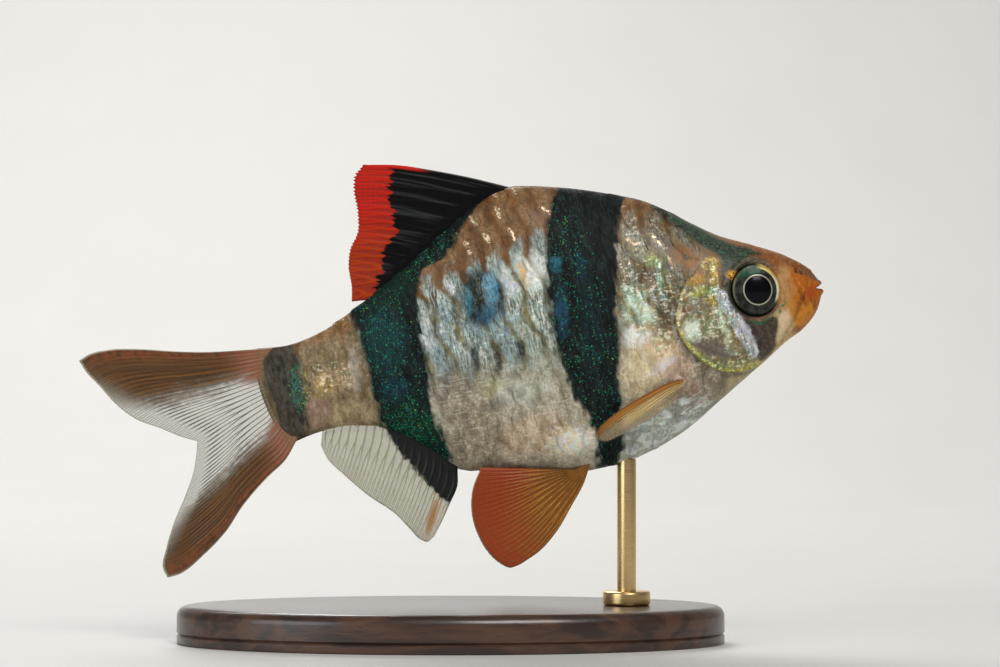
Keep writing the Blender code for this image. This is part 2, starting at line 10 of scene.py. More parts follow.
import bpy
import numpy as np
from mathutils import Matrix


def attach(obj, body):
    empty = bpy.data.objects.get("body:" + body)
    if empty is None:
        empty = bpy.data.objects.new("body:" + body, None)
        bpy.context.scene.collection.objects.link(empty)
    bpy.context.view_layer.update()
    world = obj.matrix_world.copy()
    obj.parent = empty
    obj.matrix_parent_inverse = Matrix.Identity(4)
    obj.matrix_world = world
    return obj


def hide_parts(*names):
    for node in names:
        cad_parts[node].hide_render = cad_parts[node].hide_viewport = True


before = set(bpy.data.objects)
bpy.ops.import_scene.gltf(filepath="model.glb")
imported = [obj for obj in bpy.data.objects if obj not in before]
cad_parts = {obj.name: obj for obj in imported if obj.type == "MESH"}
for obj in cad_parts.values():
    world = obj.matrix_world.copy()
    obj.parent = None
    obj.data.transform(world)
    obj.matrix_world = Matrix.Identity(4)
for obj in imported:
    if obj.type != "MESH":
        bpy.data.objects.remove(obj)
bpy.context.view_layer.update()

MM = 0.001
LEFT, RIGHT = 1.0, -1.0
PITCH = math.radians(12.0)
COS, SIN = math.cos(PITCH), math.sin(PITCH)
SNOUT_X, SNOUT_Z = 31.02, 30.0

# The body's outline from the side, as (s, h), and its half width, as (s, y)
BACK = ((-0.2, 0.1), (0.0, 0.48), (0.6, 1.6), (2.3, 3.1), (4.9, 4.6), (7.4, 5.9), (9.3, 7.3), (11.2, 8.9),
        (13.2, 10.3), (15.4, 11.3), (17.4, 12.1), (19.8, 12.9), (24.1, 13.7), (26.5, 13.1), (29.0, 11.8),
        (33.5, 9.2), (38.5, 6.5), (41.5, 5.2), (44.5, 4.6), (48.4, 5.0))
BELLY = ((-0.2, -0.4), (0.0, -0.72), (0.7, -2.0), (2.1, -3.2), (4.0, -4.0), (6.2, -5.1), (10.2, -7.7),
         (13.9, -9.8), (17.2, -10.9), (20.5, -11.35), (22.6, -11.3), (26.4, -10.4), (30.3, -9.6),
         (32.6, -9.0), (34.4, -7.2), (36.4, -5.4), (39.0, -3.9), (41.7, -3.35), (43.5, -3.4), (48.4, -4.4))
HALF_WIDTH = ((-0.2, 0.35), (0.0, 0.8), (0.6, 1.3), (1.5, 1.8), (3.0, 2.45), (5.2, 3.1), (8.0, 3.7),
              (11.0, 4.2), (14.0, 4.5), (18.0, 4.65), (22.0, 4.5), (27.0, 3.9), (32.0, 2.95), (37.0, 2.1),
              (42.0, 1.4), (45.0, 1.05), (48.4, 0.75))
WIDEST = ((-0.2, 0.5), (5.0, 0.5), (12.0, 0.5), (22.0, 0.47), (34.0, 0.5), (48.4, 0.5))
BACK_KEEL = ((-0.2, -0.25), (5.0, -0.12), (10.0, 0.1), (16.0, 0.26), (34.0, 0.2), (48.4, 0.0))
BELLY_KEEL = ((-0.2, -0.25), (5.0, 0.05), (12.0, 0.16), (22.0, 0.02), (34.0, 0.12), (48.4, 0.0))
SKIN_DEPTH = ((-0.2, 0.03), (8.0, 0.03), (14.0, 0.15), (48.4, 0.15))

# Lines on the body, as (s, h)
GILL_LINE = ((10.6, 11.0), (9.6, 6.6), (9.35, 5.0), (10.45, 3.95), (11.65, 2.85), (12.6, 1.1), (13.05, -0.4),
             (12.65, -2.6), (11.85, -3.95), (10.6, -5.25), (9.2, -6.0), (8.0, -6.6), (7.2, -8.0))
GILL_REAR = ((9.05, 4.4), (10.1, 3.5), (11.3, 2.5), (12.2, 1.0), (12.7, -0.4), (12.3, -2.4), (11.6, -3.6),
             (10.4, -4.8), (9.1, -5.45), (7.8, -5.55), (6.6, -5.25))
GILL_FRONT = ((8.75, 4.3), (8.5, 3.0), (8.55, 1.6), (8.2, 0.4), (7.75, -1.4), (7.15, -3.2), (6.7, -4.5),
              (6.5, -5.05))
LOWER_PLATE = ((12.5, -2.0), (11.3, -2.75), (9.9, -3.6), (8.4, -4.3), (6.9, -4.55))
TAIL_BASE = ((46.6, 6.0), (46.85, 4.8), (47.3, 3.2), (47.35, 1.6), (47.1, -0.4), (46.5, -2.6), (45.8, -4.1),
             (45.2, -5.2))
MOUTH_LINE = ((-0.9, -0.05), (0.0, -0.08), (0.6, -0.24), (1.4, -0.62), (2.2, -1.05))
LIP_CREASE = ((0.75, 1.0), (1.2, 0.2), (1.75, -0.9), (2.5, -1.95), (2.9, -2.9))
JAW_CREASE = ((2.1, -1.0), (2.7, -2.0), (3.5, -3.0), (4.6, -3.9))

# The nostrils, as (s, h, radius), the eyes and their sockets, and the pectoral fins' pit
NOSTRILS = ((1.42, 1.4, 0.16), (1.78, 1.64, 0.22))
EYE_S, EYE_H = 5.57, 0.79
EYE_RADIUS, EYE_DEPTH, EYE_SUNK = 2.35, 1.2, 0.5
EYE_TURN = math.radians(8.0)
EYE_TALL = 1.06
PUPIL_RADIUS = 1.11
SOCKET_S, SOCKET_RADIUS, SOCKET_DEPTH = 5.56, 2.08, 1.3
FIN_PIT = (12.55, -5.7)

# Where the head's relief ends, how far the body runs on inside the tail fin, and its wedge's length
HEAD_END_S = 15.0
TAIL_OVERLAP, TAIL_WEDGE = 0.5, 2.6

# The fins, each as four lines of (s, h): its base, its free margin, its first ray and its last ray
DORSAL = {
    "base": ((24.1, 13.7), (26.5, 13.1), (29.0, 11.8), (33.5, 9.2), (37.9, 6.8)),
    "margin": ((35.4, 17.95), (36.3, 17.3), (36.7, 16.0), (36.75, 14.2), (37.1, 12.5), (38.0, 11.2),
               (38.45, 9.7), (38.5, 8.2), (38.75, 6.9)),
    "first": ((24.1, 13.7), (26.9, 15.05), (30.0, 16.35), (32.4, 17.25), (35.4, 17.95)),
    "last": ((37.9, 6.8), (38.75, 6.9)),
}
ANAL = {
    "base": ((33.0, -8.9), (34.4, -7.2), (36.4, -5.4), (39.0, -3.9), (41.7, -3.35), (43.5, -3.4)),
    "margin": ((36.1, -13.85), (36.75, -14.2), (37.35, -13.8), (37.9, -12.9), (38.7, -11.6),
               (41.0, -9.1), (42.5, -7.1), (43.5, -5.6), (43.8, -4.4)),
    "first": ((33.0, -8.9), (33.25, -10.0), (34.2, -11.4), (35.3, -12.9), (36.1, -13.85)),
    "last": ((43.5, -3.4), (43.8, -4.4)),
}
TAIL_UPPER = {
    "base": ((46.85, 4.6), (47.3, 3.2), (47.35, 1.6), (47.25, 0.45)),
    "margin": ((62.3, 6.8), (62.0, 5.9), (61.1, 4.4), (59.9, 2.4), (58.5, 0.9), (56.7, -0.2),
               (55.4, -1.1), (53.9, -1.9)),
    "first": ((46.85, 4.6), (49.4, 4.95), (51.8, 5.35), (54.1, 5.9), (57.2, 6.75), (59.6, 7.2),
              (61.4, 7.15), (62.3, 6.8)),
    "last": ((47.25, 0.45), (50.6, -0.65), (53.9, -1.9)),
}
TAIL_LOWER = {
    "base": ((47.25, 0.45), (47.1, -0.6), (46.5, -2.6), (45.95, -3.85)),
    "margin": ((53.9, -1.9), (54.2, -2.9), (54.8, -4.4), (55.9, -6.2), (57.3, -8.2), (58.4, -10.2),
               (59.0, -11.7), (58.8, -12.6)),
    "first": ((47.25, 0.45), (50.6, -0.65), (53.9, -1.9)),
    "last": ((45.95, -3.85), (46.9, -4.9), (48.8, -6.1), (51.4, -8.1), (53.0, -9.7), (55.3, -11.3),
             (57.7, -12.5), (58.8, -12.6)),
}
PELVIC = {
    "base": ((22.3, -11.1), (23.2, -10.95), (24.1, -10.75)),
    "margin": ((29.7, -17.55), (30.4, -17.6), (31.1, -17.1), (31.9, -16.0), (32.4, -14.6), (32.6, -12.8),
               (32.1, -10.6), (31.0, -8.9)),
    "first": ((22.3, -11.1), (22.7, -11.8), (24.3, -13.7), (26.0, -15.5), (27.8, -16.8), (29.7, -17.55)),
    "last": ((24.1, -10.6), (27.5, -9.75), (31.0, -8.9)),
}
PECTORAL = {
    "base": ((12.5, -5.15), (12.9, -5.7), (13.3, -6.3)),
    "margin": ((20.9, -7.75), (21.2, -8.25), (21.0, -8.7), (20.4, -8.95), (19.4, -8.75), (18.2, -8.4)),
    "first": ((12.5, -5.15), (14.4, -5.25), (16.0, -5.65), (18.5, -6.5), (20.1, -7.25), (20.9, -7.75)),
    "last": ((13.3, -6.3), (15.2, -7.4), (18.2, -8.4)),
}

# How deep a fin's root is sunk, the rows that this takes as a share of its length, and how thick it is there
ROOT_SUNK, ROOT_SHARE, ROOT_THICKER = 1.0, 0.06, 0.3

# The tail fin bends to the left with the square of the distance from its root
TAIL_RAYS, TAIL_ROOT_S, TAIL_BEND = 28, 47.35, 0.0045
PELVIC_SPREAD = {RIGHT: 1.5, LEFT: 2.0}
PELVIC_TURN = {RIGHT: 0.0, LEFT: math.radians(-2.0)}

# The scales: their pitches at stations s, where the coat begins and ends, and one scale's shape. Its length
# and height are in pitches, its root's width is a share of its height, and its lifts are in millimetres
COLUMN_PITCH = ((6.0, 1.95), (30.0, 1.95), (38.0, 1.65), (48.0, 1.3))
ROW_PITCH = ((6.0, 2.0), (20.0, 2.25), (32.0, 2.05), (40.0, 1.65), (48.0, 1.35))
FIRST_SCALE_S, LAST_SCALE_S, COAT_END_S = 6.48, 47.0, 48.2
SCALE_LENGTH, SCALE_HEIGHT, SCALE_ROOT_WIDTH = 1.66, 1.04, 0.85
SCALE_ROUND = math.radians(80.0)
SCALE_THICK = 0.035
SCALE_ROOT_LIFT, SCALE_TIP_LIFT = -0.07, 0.11
USUAL_PITCH = 1.85

# How far a scale's root stays from a ridge, the tail fin and the pectoral fin, how far it goes under the
# gill cover, and how near a ridge the scales are drawn in
RIDGE_GAP, TAIL_GAP, FIN_GAP, UNDER_GILL, RIDGE_WRAP = 0.35, 2.1, 1.5, 1.1, 0.6

# The stand
PLINTH_LENGTH, PLINTH_WIDTH, PLINTH_HEIGHT, PLINTH_EDGE = 46.0, 27.0, 3.2, 0.9
CUT_HEIGHTS, CUT_DEPTH = (0.7, 0.85, 1.0), 0.15
ROD_RADIUS, ROD_S, ROD_FOOT, ROD_SUNK = 0.8, 19.0, 1.5, 0.4
COLLAR_RADIUS, COLLAR_HEIGHT = 2.0, 1.2

# The camera looks level. The photo's frame is 84 mm wide at the fish, whose snout is at its pixel (820, 286)
CAMERA_LENS, CAMERA_SENSOR = 150.0, 36.0
CAMERA_AWAY = 350.0
FRAME_WIDTH, FRAME_PIXELS = 84.0, (1000, 667)
SNOUT_PIXEL = (820, 286)
CAMERA_X = SNOUT_X + (FRAME_PIXELS[0] / 2 - SNOUT_PIXEL[0]) * FRAME_WIDTH / FRAME_PIXELS[0]
CAMERA_Z = SNOUT_Z - (FRAME_PIXELS[1] / 2 - SNOUT_PIXEL[1]) * FRAME_WIDTH / FRAME_PIXELS[0]


def smooth_line(points, count):
    """Evenly spaced points on a smooth curve through the given ones."""
    known = np.array(points, float)
    if len(known) == 2:
        return known[0] + np.linspace(0, 1, count)[:, None] * (known[1] - known[0])
    place = np.concatenate([[0], np.cumsum(np.linalg.norm(np.diff(known, axis=0), axis=1))])
    slope = np.gradient(known, place, axis=0)
    fine = []
    for k in range(len(known) - 1):
        step = place[k + 1] - place[k]
        t = np.linspace(0, 1, 25)[:, None]
        fine.append((2 * t**3 - 3 * t**2 + 1) * known[k] + (t**3 - 2 * t**2 + t) * step * slope[k]
                    + (3 * t**2 - 2 * t**3) * known[k + 1] + (t**3 - t**2) * step * slope[k + 1])
    fine = np.concatenate(fine)
    place = np.concatenate([[0], np.cumsum(np.linalg.norm(np.diff(fine, axis=0), axis=1))])
    even = np.linspace(0, place[-1], count)
    return np.stack([np.interp(even, place, fine[:, k]) for k in range(fine.shape[1])], axis=1)


def value_along(points):
    """A function of s through the given (s, value) points."""
    fine = smooth_line(points, 400)
    return lambda s: np.interp(s, fine[:, 0], fine[:, 1])


back_at, belly_at, half_width_at = value_along(BACK), value_along(BELLY), value_along(HALF_WIDTH)
widest_at, depth_at = value_along(WIDEST), value_along(SKIN_DEPTH)
back_keel_at, belly_keel_at = value_along(BACK_KEEL), value_along(BELLY_KEEL)
tail_base_line = smooth_line(TAIL_BASE, 200)[::-1]


def tail_base_at(h):
    """The station of the tail fin's base at a height."""
    return np.interp(h, tail_base_line[:, 1], tail_base_line[:, 0])


def ease(value, start, end):
    """A smooth climb from 0 at start to 1 at end."""
    t = np.clip((value - start) / (end - start), 0, 1)
    return t * t * (3 - 2 * t)


def mound(value, middle, spread):
    """A smooth mound of height 1 at middle."""
    return np.exp(-(((value - middle) / spread) ** 2))


def in_pose(points):
    """Where points (s, y, h) of the fish's frame are, in metres, in the display pose."""
    s, y, h = np.moveaxis(np.asarray(points, float), -1, 0)
    return np.stack([SNOUT_X - s * COS - h * SIN, y, SNOUT_Z - s * SIN + h * COS], axis=-1) * MM


def body_point(s, angle, grow=0.0):
    """Points of the body at stations s and angles round them: 0 on the left, a quarter turn at the back.

    Its width runs out in a rounded wedge at the tail fin's base.
    """
    top, bottom = back_at(s) + grow, belly_at(s) - grow
    level = bottom + (top - bottom) * widest_at(s)
    lift = np.sin(angle)
    h = level + np.where(lift > 0, top - level, level - bottom) * lift
    keel = np.where(lift > 0, back_keel_at(s), belly_keel_at(s))
    wedge = np.sqrt(np.clip((tail_base_at(h) + TAIL_OVERLAP - s) / TAIL_WEDGE, 0, 1))
    y = (half_width_at(s) + grow) * np.cos(angle) * (1 - keel * lift * lift) * wedge
    return np.stack([s + 0 * h, y, h], axis=-1)


def side_y(s, h):
    """How far the body's surface is from its middle plane at stations and heights."""
    top, bottom = back_at(s), belly_at(s)
    level = bottom + (top - bottom) * widest_at(s)
    lift = np.clip((h - level) / np.where(h > level, top - level, level - bottom), -1, 1)
    keel = np.where(lift > 0, back_keel_at(s), belly_keel_at(s))
    return half_width_at(s) * np.sqrt(1 - lift**2) * (1 - keel * lift**2)


def from_line(s, h, points):
    """How far points are from a line, positive on its left as it runs, and their share along it."""
    line = smooth_line(points, 60)
    start, way = line[:-1], np.diff(line, axis=0)
    length = np.linalg.norm(way, axis=1)
    spot = np.stack([s, h], axis=-1)[..., None, :] - start
    t = np.clip((spot * way).sum(-1) / length**2, 0, 1)
    away = spot - t[..., None] * way
    distance = np.linalg.norm(away, axis=-1)
    side = way[:, 0] * spot[..., 1] - way[:, 1] * spot[..., 0]
    near = distance.argmin(-1)[..., None]
    distance, side, t = (np.take_along_axis(values, near, -1)[..., 0] for values in (distance, side, t))
    share = (near[..., 0] + t) / len(start)
    return distance * np.where(side < 0, -1, 1), share


def deselect():
    """Leaves nothing selected."""
    bpy.ops.object.select_all(action="DESELECT")


def close_up(piece, gap=0.002):
    """Merges corners that meet and turns all faces outwards."""
    bpy.ops.object.mode_set(mode="EDIT")
    bpy.ops.mesh.select_all(action="SELECT")
    bpy.ops.mesh.remove_doubles(threshold=gap * MM)
    bpy.ops.mesh.normals_make_consistent(inside=False)
    bpy.ops.object.mode_set(mode="OBJECT")
    bpy.ops.object.shade_smooth()
    return piece


def shaped_sheet(name, points, marks=None):
    """A grid primitive with its corners set to an array of points, and a named value at each corner."""
    rows, columns = points.shape[:2]
    deselect()
    bpy.ops.mesh.primitive_grid_add(x_subdivisions=columns - 1, y_subdivisions=rows - 1, size=2)
    piece = bpy.context.object
    piece.name = piece.data.name = name
    piece.data.uv_layers[0].name = "OFBake"
    flat = np.empty(len(piece.data.vertices) * 3, np.float32)
    piece.data.vertices.foreach_get("co", flat)
    column = np.rint((flat[0::3] + 1) / 2 * (columns - 1)).astype(int)
    row = np.rint((flat[1::3] + 1) / 2 * (rows - 1)).astype(int)
    piece.data.vertices.foreach_set("co", points[row, column].astype(np.float32).ravel())
    for label, values in (marks or {}).items():
        mark = piece.data.attributes.new(label, "FLOAT_VECTOR", "POINT")
        mark.data.foreach_set("vector", values[row, column].astype(np.float32).ravel())
    return close_up(piece)


def hand_in(piece, finish, slot, *nodes):
    """Gives a finished piece its material, hangs it under the root and hides the solids that it replaces."""
    piece.data.materials.clear()
    piece.data.materials.append(finish.material)
    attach(piece, "root")
    if nodes:
        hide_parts(*nodes)


class Signal:
    """A shader socket that arithmetic works on: an expression adds its Math nodes."""

    def __init__(self, finish, socket):
        self.finish = finish
        self.socket = socket

    def __add__(self, other):
        return self.finish.maths("ADD", self, other)

    def __sub__(self, other):
        return self.finish.maths("SUBTRACT", self, other)

    def __rsub__(self, other):
        return self.finish.maths("SUBTRACT", other, self)

    def __mul__(self, other):
        return self.finish.maths("MULTIPLY", self, other)

    def __truediv__(self, other):
        return self.finish.maths("DIVIDE", self, other)

    def __rtruediv__(self, other):
        return self.finish.maths("DIVIDE", other, self)

    __radd__ = __add__
    __rmul__ = __mul__


class Finish:
    """A material built from one Principled shader."""

    def __init__(self, name, fixed=None):
        self.material = bpy.data.materials.new(name)
        self.material.use_nodes = True
        self.tree = self.material.node_tree
        self.shader = self.tree.nodes["Principled BSDF"]
        for label, value in (fixed or {}).items():
            self.shader.inputs[label].default_value = value

    def node(self, kind, settings=None, values=None):
        """Adds a node, with its settings first and then the values or links of its sockets."""
        node = self.tree.nodes.new(kind)
        for label, value in (settings or {}).items():
            setattr(node, label, value)
        for label, value in (values or {}).items():
            if isinstance(value, Signal):
                self.tree.links.new(value.socket, node.inputs[label])
            else:
                node.inputs[label].default_value = value
        return node

    def signal(self, kind, output, settings=None, values=None):
        return Signal(self, self.node(kind, settings, values).outputs[output])

    def maths(self, operation, *values):
        return self.signal("ShaderNodeMath", 0, {"operation": operation}, dict(enumerate(values)))

    def vector_maths(self, operation, output, *values):
        """Arithmetic on vectors, whose output is 0 for a vector and "Value" for a number."""
        return self.signal("ShaderNodeVectorMath", output, {"operation": operation}, dict(enumerate(values)))

    def length(self, vector):
        return self.vector_maths("LENGTH", "Value", vector)

    def object_place(self):
        """Where a point is on the object, in metres."""
        return self.signal("ShaderNodeTexCoord", "Object")

    def feed(self, label, signal):
        """Links a signal to a socket of the shader."""
        self.tree.links.new(signal.socket, self.shader.inputs[label])

    def ease(self, value, start, end):
        """A smooth climb from 0 where value is start to 1 where it is end."""
        settings = {"interpolation_type": "SMOOTHSTEP"}
        if start < end:
            return self.signal("ShaderNodeMapRange", 0, settings, {0: value, 1: start, 2: end})
        return self.signal("ShaderNodeMapRange", 0, settings, {0: value, 1: end, 2: start, 3: 1.0, 4: 0.0})

    def most(self, *values):
        """The highest of several masks."""
        found = values[0]
        for value in values[1:]:
            found = self.maths("MAXIMUM", found, value)
        return found

    def mix(self, share, one, other, kind="MIX"):
        """A colour between two."""
        settings = {"data_type": "RGBA", "blend_type": kind, "clamp_result": True}
        return self.signal("ShaderNodeMix", 2, settings, {0: share, 6: colour(one), 7: colour(other)})

    def between(self, value, start, end, one, other):
        """A colour that goes from one to the other as value goes from start to end."""
        return self.mix(self.ease(value, start, end), one, other)

    def vector(self, x=0.0, y=0.0, z=0.0):
        return self.signal("ShaderNodeCombineXYZ", 0, None, {0: x, 1: y, 2: z})

    def part(self, vector):
        """The three values of a vector."""
        node = self.node("ShaderNodeSeparateXYZ", None, {0: vector})
        return [Signal(self, node.outputs[k]) for k in range(3)]

    def attribute(self, name):
        return self.signal("ShaderNodeAttribute", "Vector", {"attribute_name": name})

    def fish_frame(self):
        """Sets up s, y and h in millimetres from the object coordinates."""
        place = self.object_place()

        def along(way, start):
            return self.vector_maths("DOT_PRODUCT", "Value", place, [k / MM for k in way]) + start

        self.s = along((-COS, 0, -SIN), SNOUT_X * COS + SNOUT_Z * SIN)
        self.h = along((-SIN, 0, COS), SNOUT_X * SIN - SNOUT_Z * COS)
        self.y = along((0, 1, 0), 0.0)
        self.plan = self.vector(self.s, self.h)
        self.solid = self.vector(self.s, self.y, self.h)

    def noise(self, where, size, detail=2.0, stretch=None, roughness=0.5):
        """Soft noise from 0 to 1 with lumps of a size, which stretch lengthens in each direction."""
        if stretch:
            where = self.vector_maths("DIVIDE", 0, where, stretch)
        values = {"Vector": where, "Scale": 1 / size, "Detail": detail, "Roughness": roughness}
        return self.signal("ShaderNodeTexNoise", 0, None, values)

    def grains(self, where, size):
        """Random numbers, three to a grain, in grains of a size."""
        values = {"Vector": where, "Scale": 1 / size, "Randomness": 1.0}
        return self.part(self.signal("ShaderNodeTexVoronoi", "Color", {"feature": "F1"}, values))

    def ramp(self, value, stops):
        """A colour that runs through the given (value, colour) stops."""
        node = self.node("ShaderNodeValToRGB", None, {0: value})
        line = node.color_ramp.elements
        while len(line) < len(stops):
            line.new(0.5)
        for stop, (place, tone) in zip(line, stops):
            stop.position = place
            stop.color = (*tone, 1.0)
        return Signal(self, node.outputs[0])

    def curve(self, value, points):
        """A value's smooth function through the given (value, result) points."""
        (x0, y0), (x1, y1) = np.min(points, axis=0), np.max(points, axis=0)
        node = self.node("ShaderNodeFloatCurve", None, {1: (value - float(x0)) / float(x1 - x0)})
        line = node.mapping.curves[0]
        places = sorted(((x - x0) / (x1 - x0), (y - y0) / (y1 - y0)) for x, y in points)
        while len(line.points) < len(places):
            line.points.new(0.5, 0.5)
        for point, place in zip(line.points, places):
            point.location = place
        node.mapping.extend = "HORIZONTAL"
        node.mapping.update()
        return Signal(self, node.outputs[0]) * float(y1 - y0) + float(y0)

    def spot(self, place, reach, turn=0.0, soft=0.35, where=None):
        """A soft-edged oval patch, 1 inside it, at a place (s, h), turned by degrees."""
        cos, sin = math.cos(math.radians(turn)), math.sin(math.radians(turn))
        ways = ((cos / reach[0], sin / reach[0], 0.0), (-sin / reach[1], cos / reach[1], 0.0))
        away = self.vector_maths("SUBTRACT", 0, where or self.plan, (*place, 0.0))
        along, across = (self.vector_maths("DOT_PRODUCT", "Value", away, way) for way in ways)
        return self.ease(self.length(self.vector(along, across)), 1 + soft, 1 - soft)

    def bump(self, height, depth):
        """A normal from a height, whose whole range is a depth in millimetres."""
        values = {"Height": height, "Distance": depth * MM, "Strength": 1.0}
        return self.signal("ShaderNodeBump", 0, None, values)


def colour(value):
    """A colour with its fourth number, or the signal itself."""
    return value if isinstance(value, Signal) else (*value, 1.0)


# The bands' edges, as (h, s)
SHOULDER_FRONT = ((-11.1, 19.5), (-8.8, 18.9), (-5.9, 18.5), (-3.2, 17.9), (0.1, 17.5), (5.0, 16.5),
                  (8.2, 15.7), (10.8, 14.2))
SHOULDER_REAR = ((-11.2, 21.5), (-8.0, 21.2), (-6.1, 21.6), (-4.0, 22.4), (1.6, 22.8), (5.3, 22.3),
                 (7.8, 21.9), (11.1, 20.9), (12.6, 19.7))
SADDLE_FRONT = ((-9.5, 33.0), (-7.4, 33.2), (-3.7, 33.9), (1.8, 33.4), (5.9, 33.4), (8.1, 32.6), (8.9, 30.2),
                (10.7, 28.9), (11.8, 27.7), (12.9, 26.1))
SADDLE_REAR = ((-11.6, 34.2), (-9.1, 35.4), (-6.6, 36.8), (-4.8, 38.2), (-1.9, 38.5), (2.0, 38.7),
               (4.1, 38.8), (5.9, 39.1), (7.0, 39.6))
TAIL_BAND_FRONT = ((-4.5, 44.5), (-3.2, 44.7), (-1.0, 44.3), (0.7, 43.9), (4.3, 44.6))
TAIL_BAND_REAR = ((-4.1, 46.0), (-2.8, 46.6), (-0.4, 47.1), (1.4, 47.2), (4.8, 46.9))
BROWN_EDGE = ((9.0, 6.9), (14.0, 8.3), (20.0, 8.3), (23.5, 8.0), (27.0, 7.4), (31.0, 6.6), (40.0, 4.4),
              (47.0, 4.2))
DASHES = (((29.45, 0.3), 1.15), ((27.75, -0.3), 1.25), ((25.75, 0.0), 0.7))

# Outlines of the head's markings, as (s, h)
NAPE = ((13.4, 11.4), (12.2, 9.1), (10.8, 7.3), (9.4, 5.6), (8.6, 4.9), (7.7, 3.9), (7.9, 2.6), (7.3, 2.4),
        (6.6, 3.2), (5.2, 3.7), (4.2, 3.5), (5.2, 4.3), (6.6, 5.0), (8.0, 6.0), (9.3, 7.2), (11.2, 9.2))
LAVENDER = ((8.95, 1.7), (8.45, 1.5), (7.75, 0.1), (7.0, -1.6), (6.5, -3.2), (6.35, -4.3), (6.9, -4.6),
            (7.45, -3.6), (8.2, -1.4), (8.9, 0.5))
CHEEK = ((7.2, -1.2), (5.9, -1.7), (4.3, -1.7), (4.2, -2.2), (4.6, -3.3), (5.0, -4.2), (6.2, -4.85),
         (7.2, -5.1), (6.6, -4.3), (6.6, -3.1), (7.1, -2.2))

BROWN, DEEP_BROWN, RUSSET = (0.25, 0.128, 0.042), (0.14, 0.072, 0.028), (0.25, 0.105, 0.028)
SILVER, WHITE, BLUE_WHITE = (0.37, 0.45, 0.43), (0.90, 0.93, 0.87), (0.42, 0.58, 0.66)
PALE_BEIGE, SHOULDER, TAN = (0.58, 0.52, 0.38), (0.33, 0.27, 0.18), (0.25, 0.18, 0.085)
OLIVE, PEACH, VIOLET = (0.115, 0.10, 0.04), (0.84, 0.60, 0.40), (0.20, 0.15, 0.14)
CREAM, ORANGE, BLACK = (0.68, 0.49, 0.24), (0.46, 0.135, 0.010), (0.004, 0.005, 0.005)
GREEN_BLACK, BLUE_BLACK, BRIGHT_BLUE = (0.006, 0.040, 0.022), (0.010, 0.055, 0.085), (0.15, 0.42, 0.60)

# How far the edges of painted patches drift, in millimetres
DRIFT = 1.1

# Upright ribbons run down the flanks, one to a column of scales
RIBBON_PITCH, RIBBON_SLANT, RIBBON_GAP_AT = 1.95, 0.17, 27.75
MIDDLE_ROW_H, ROW_HEIGHT = 0.4, 2.25
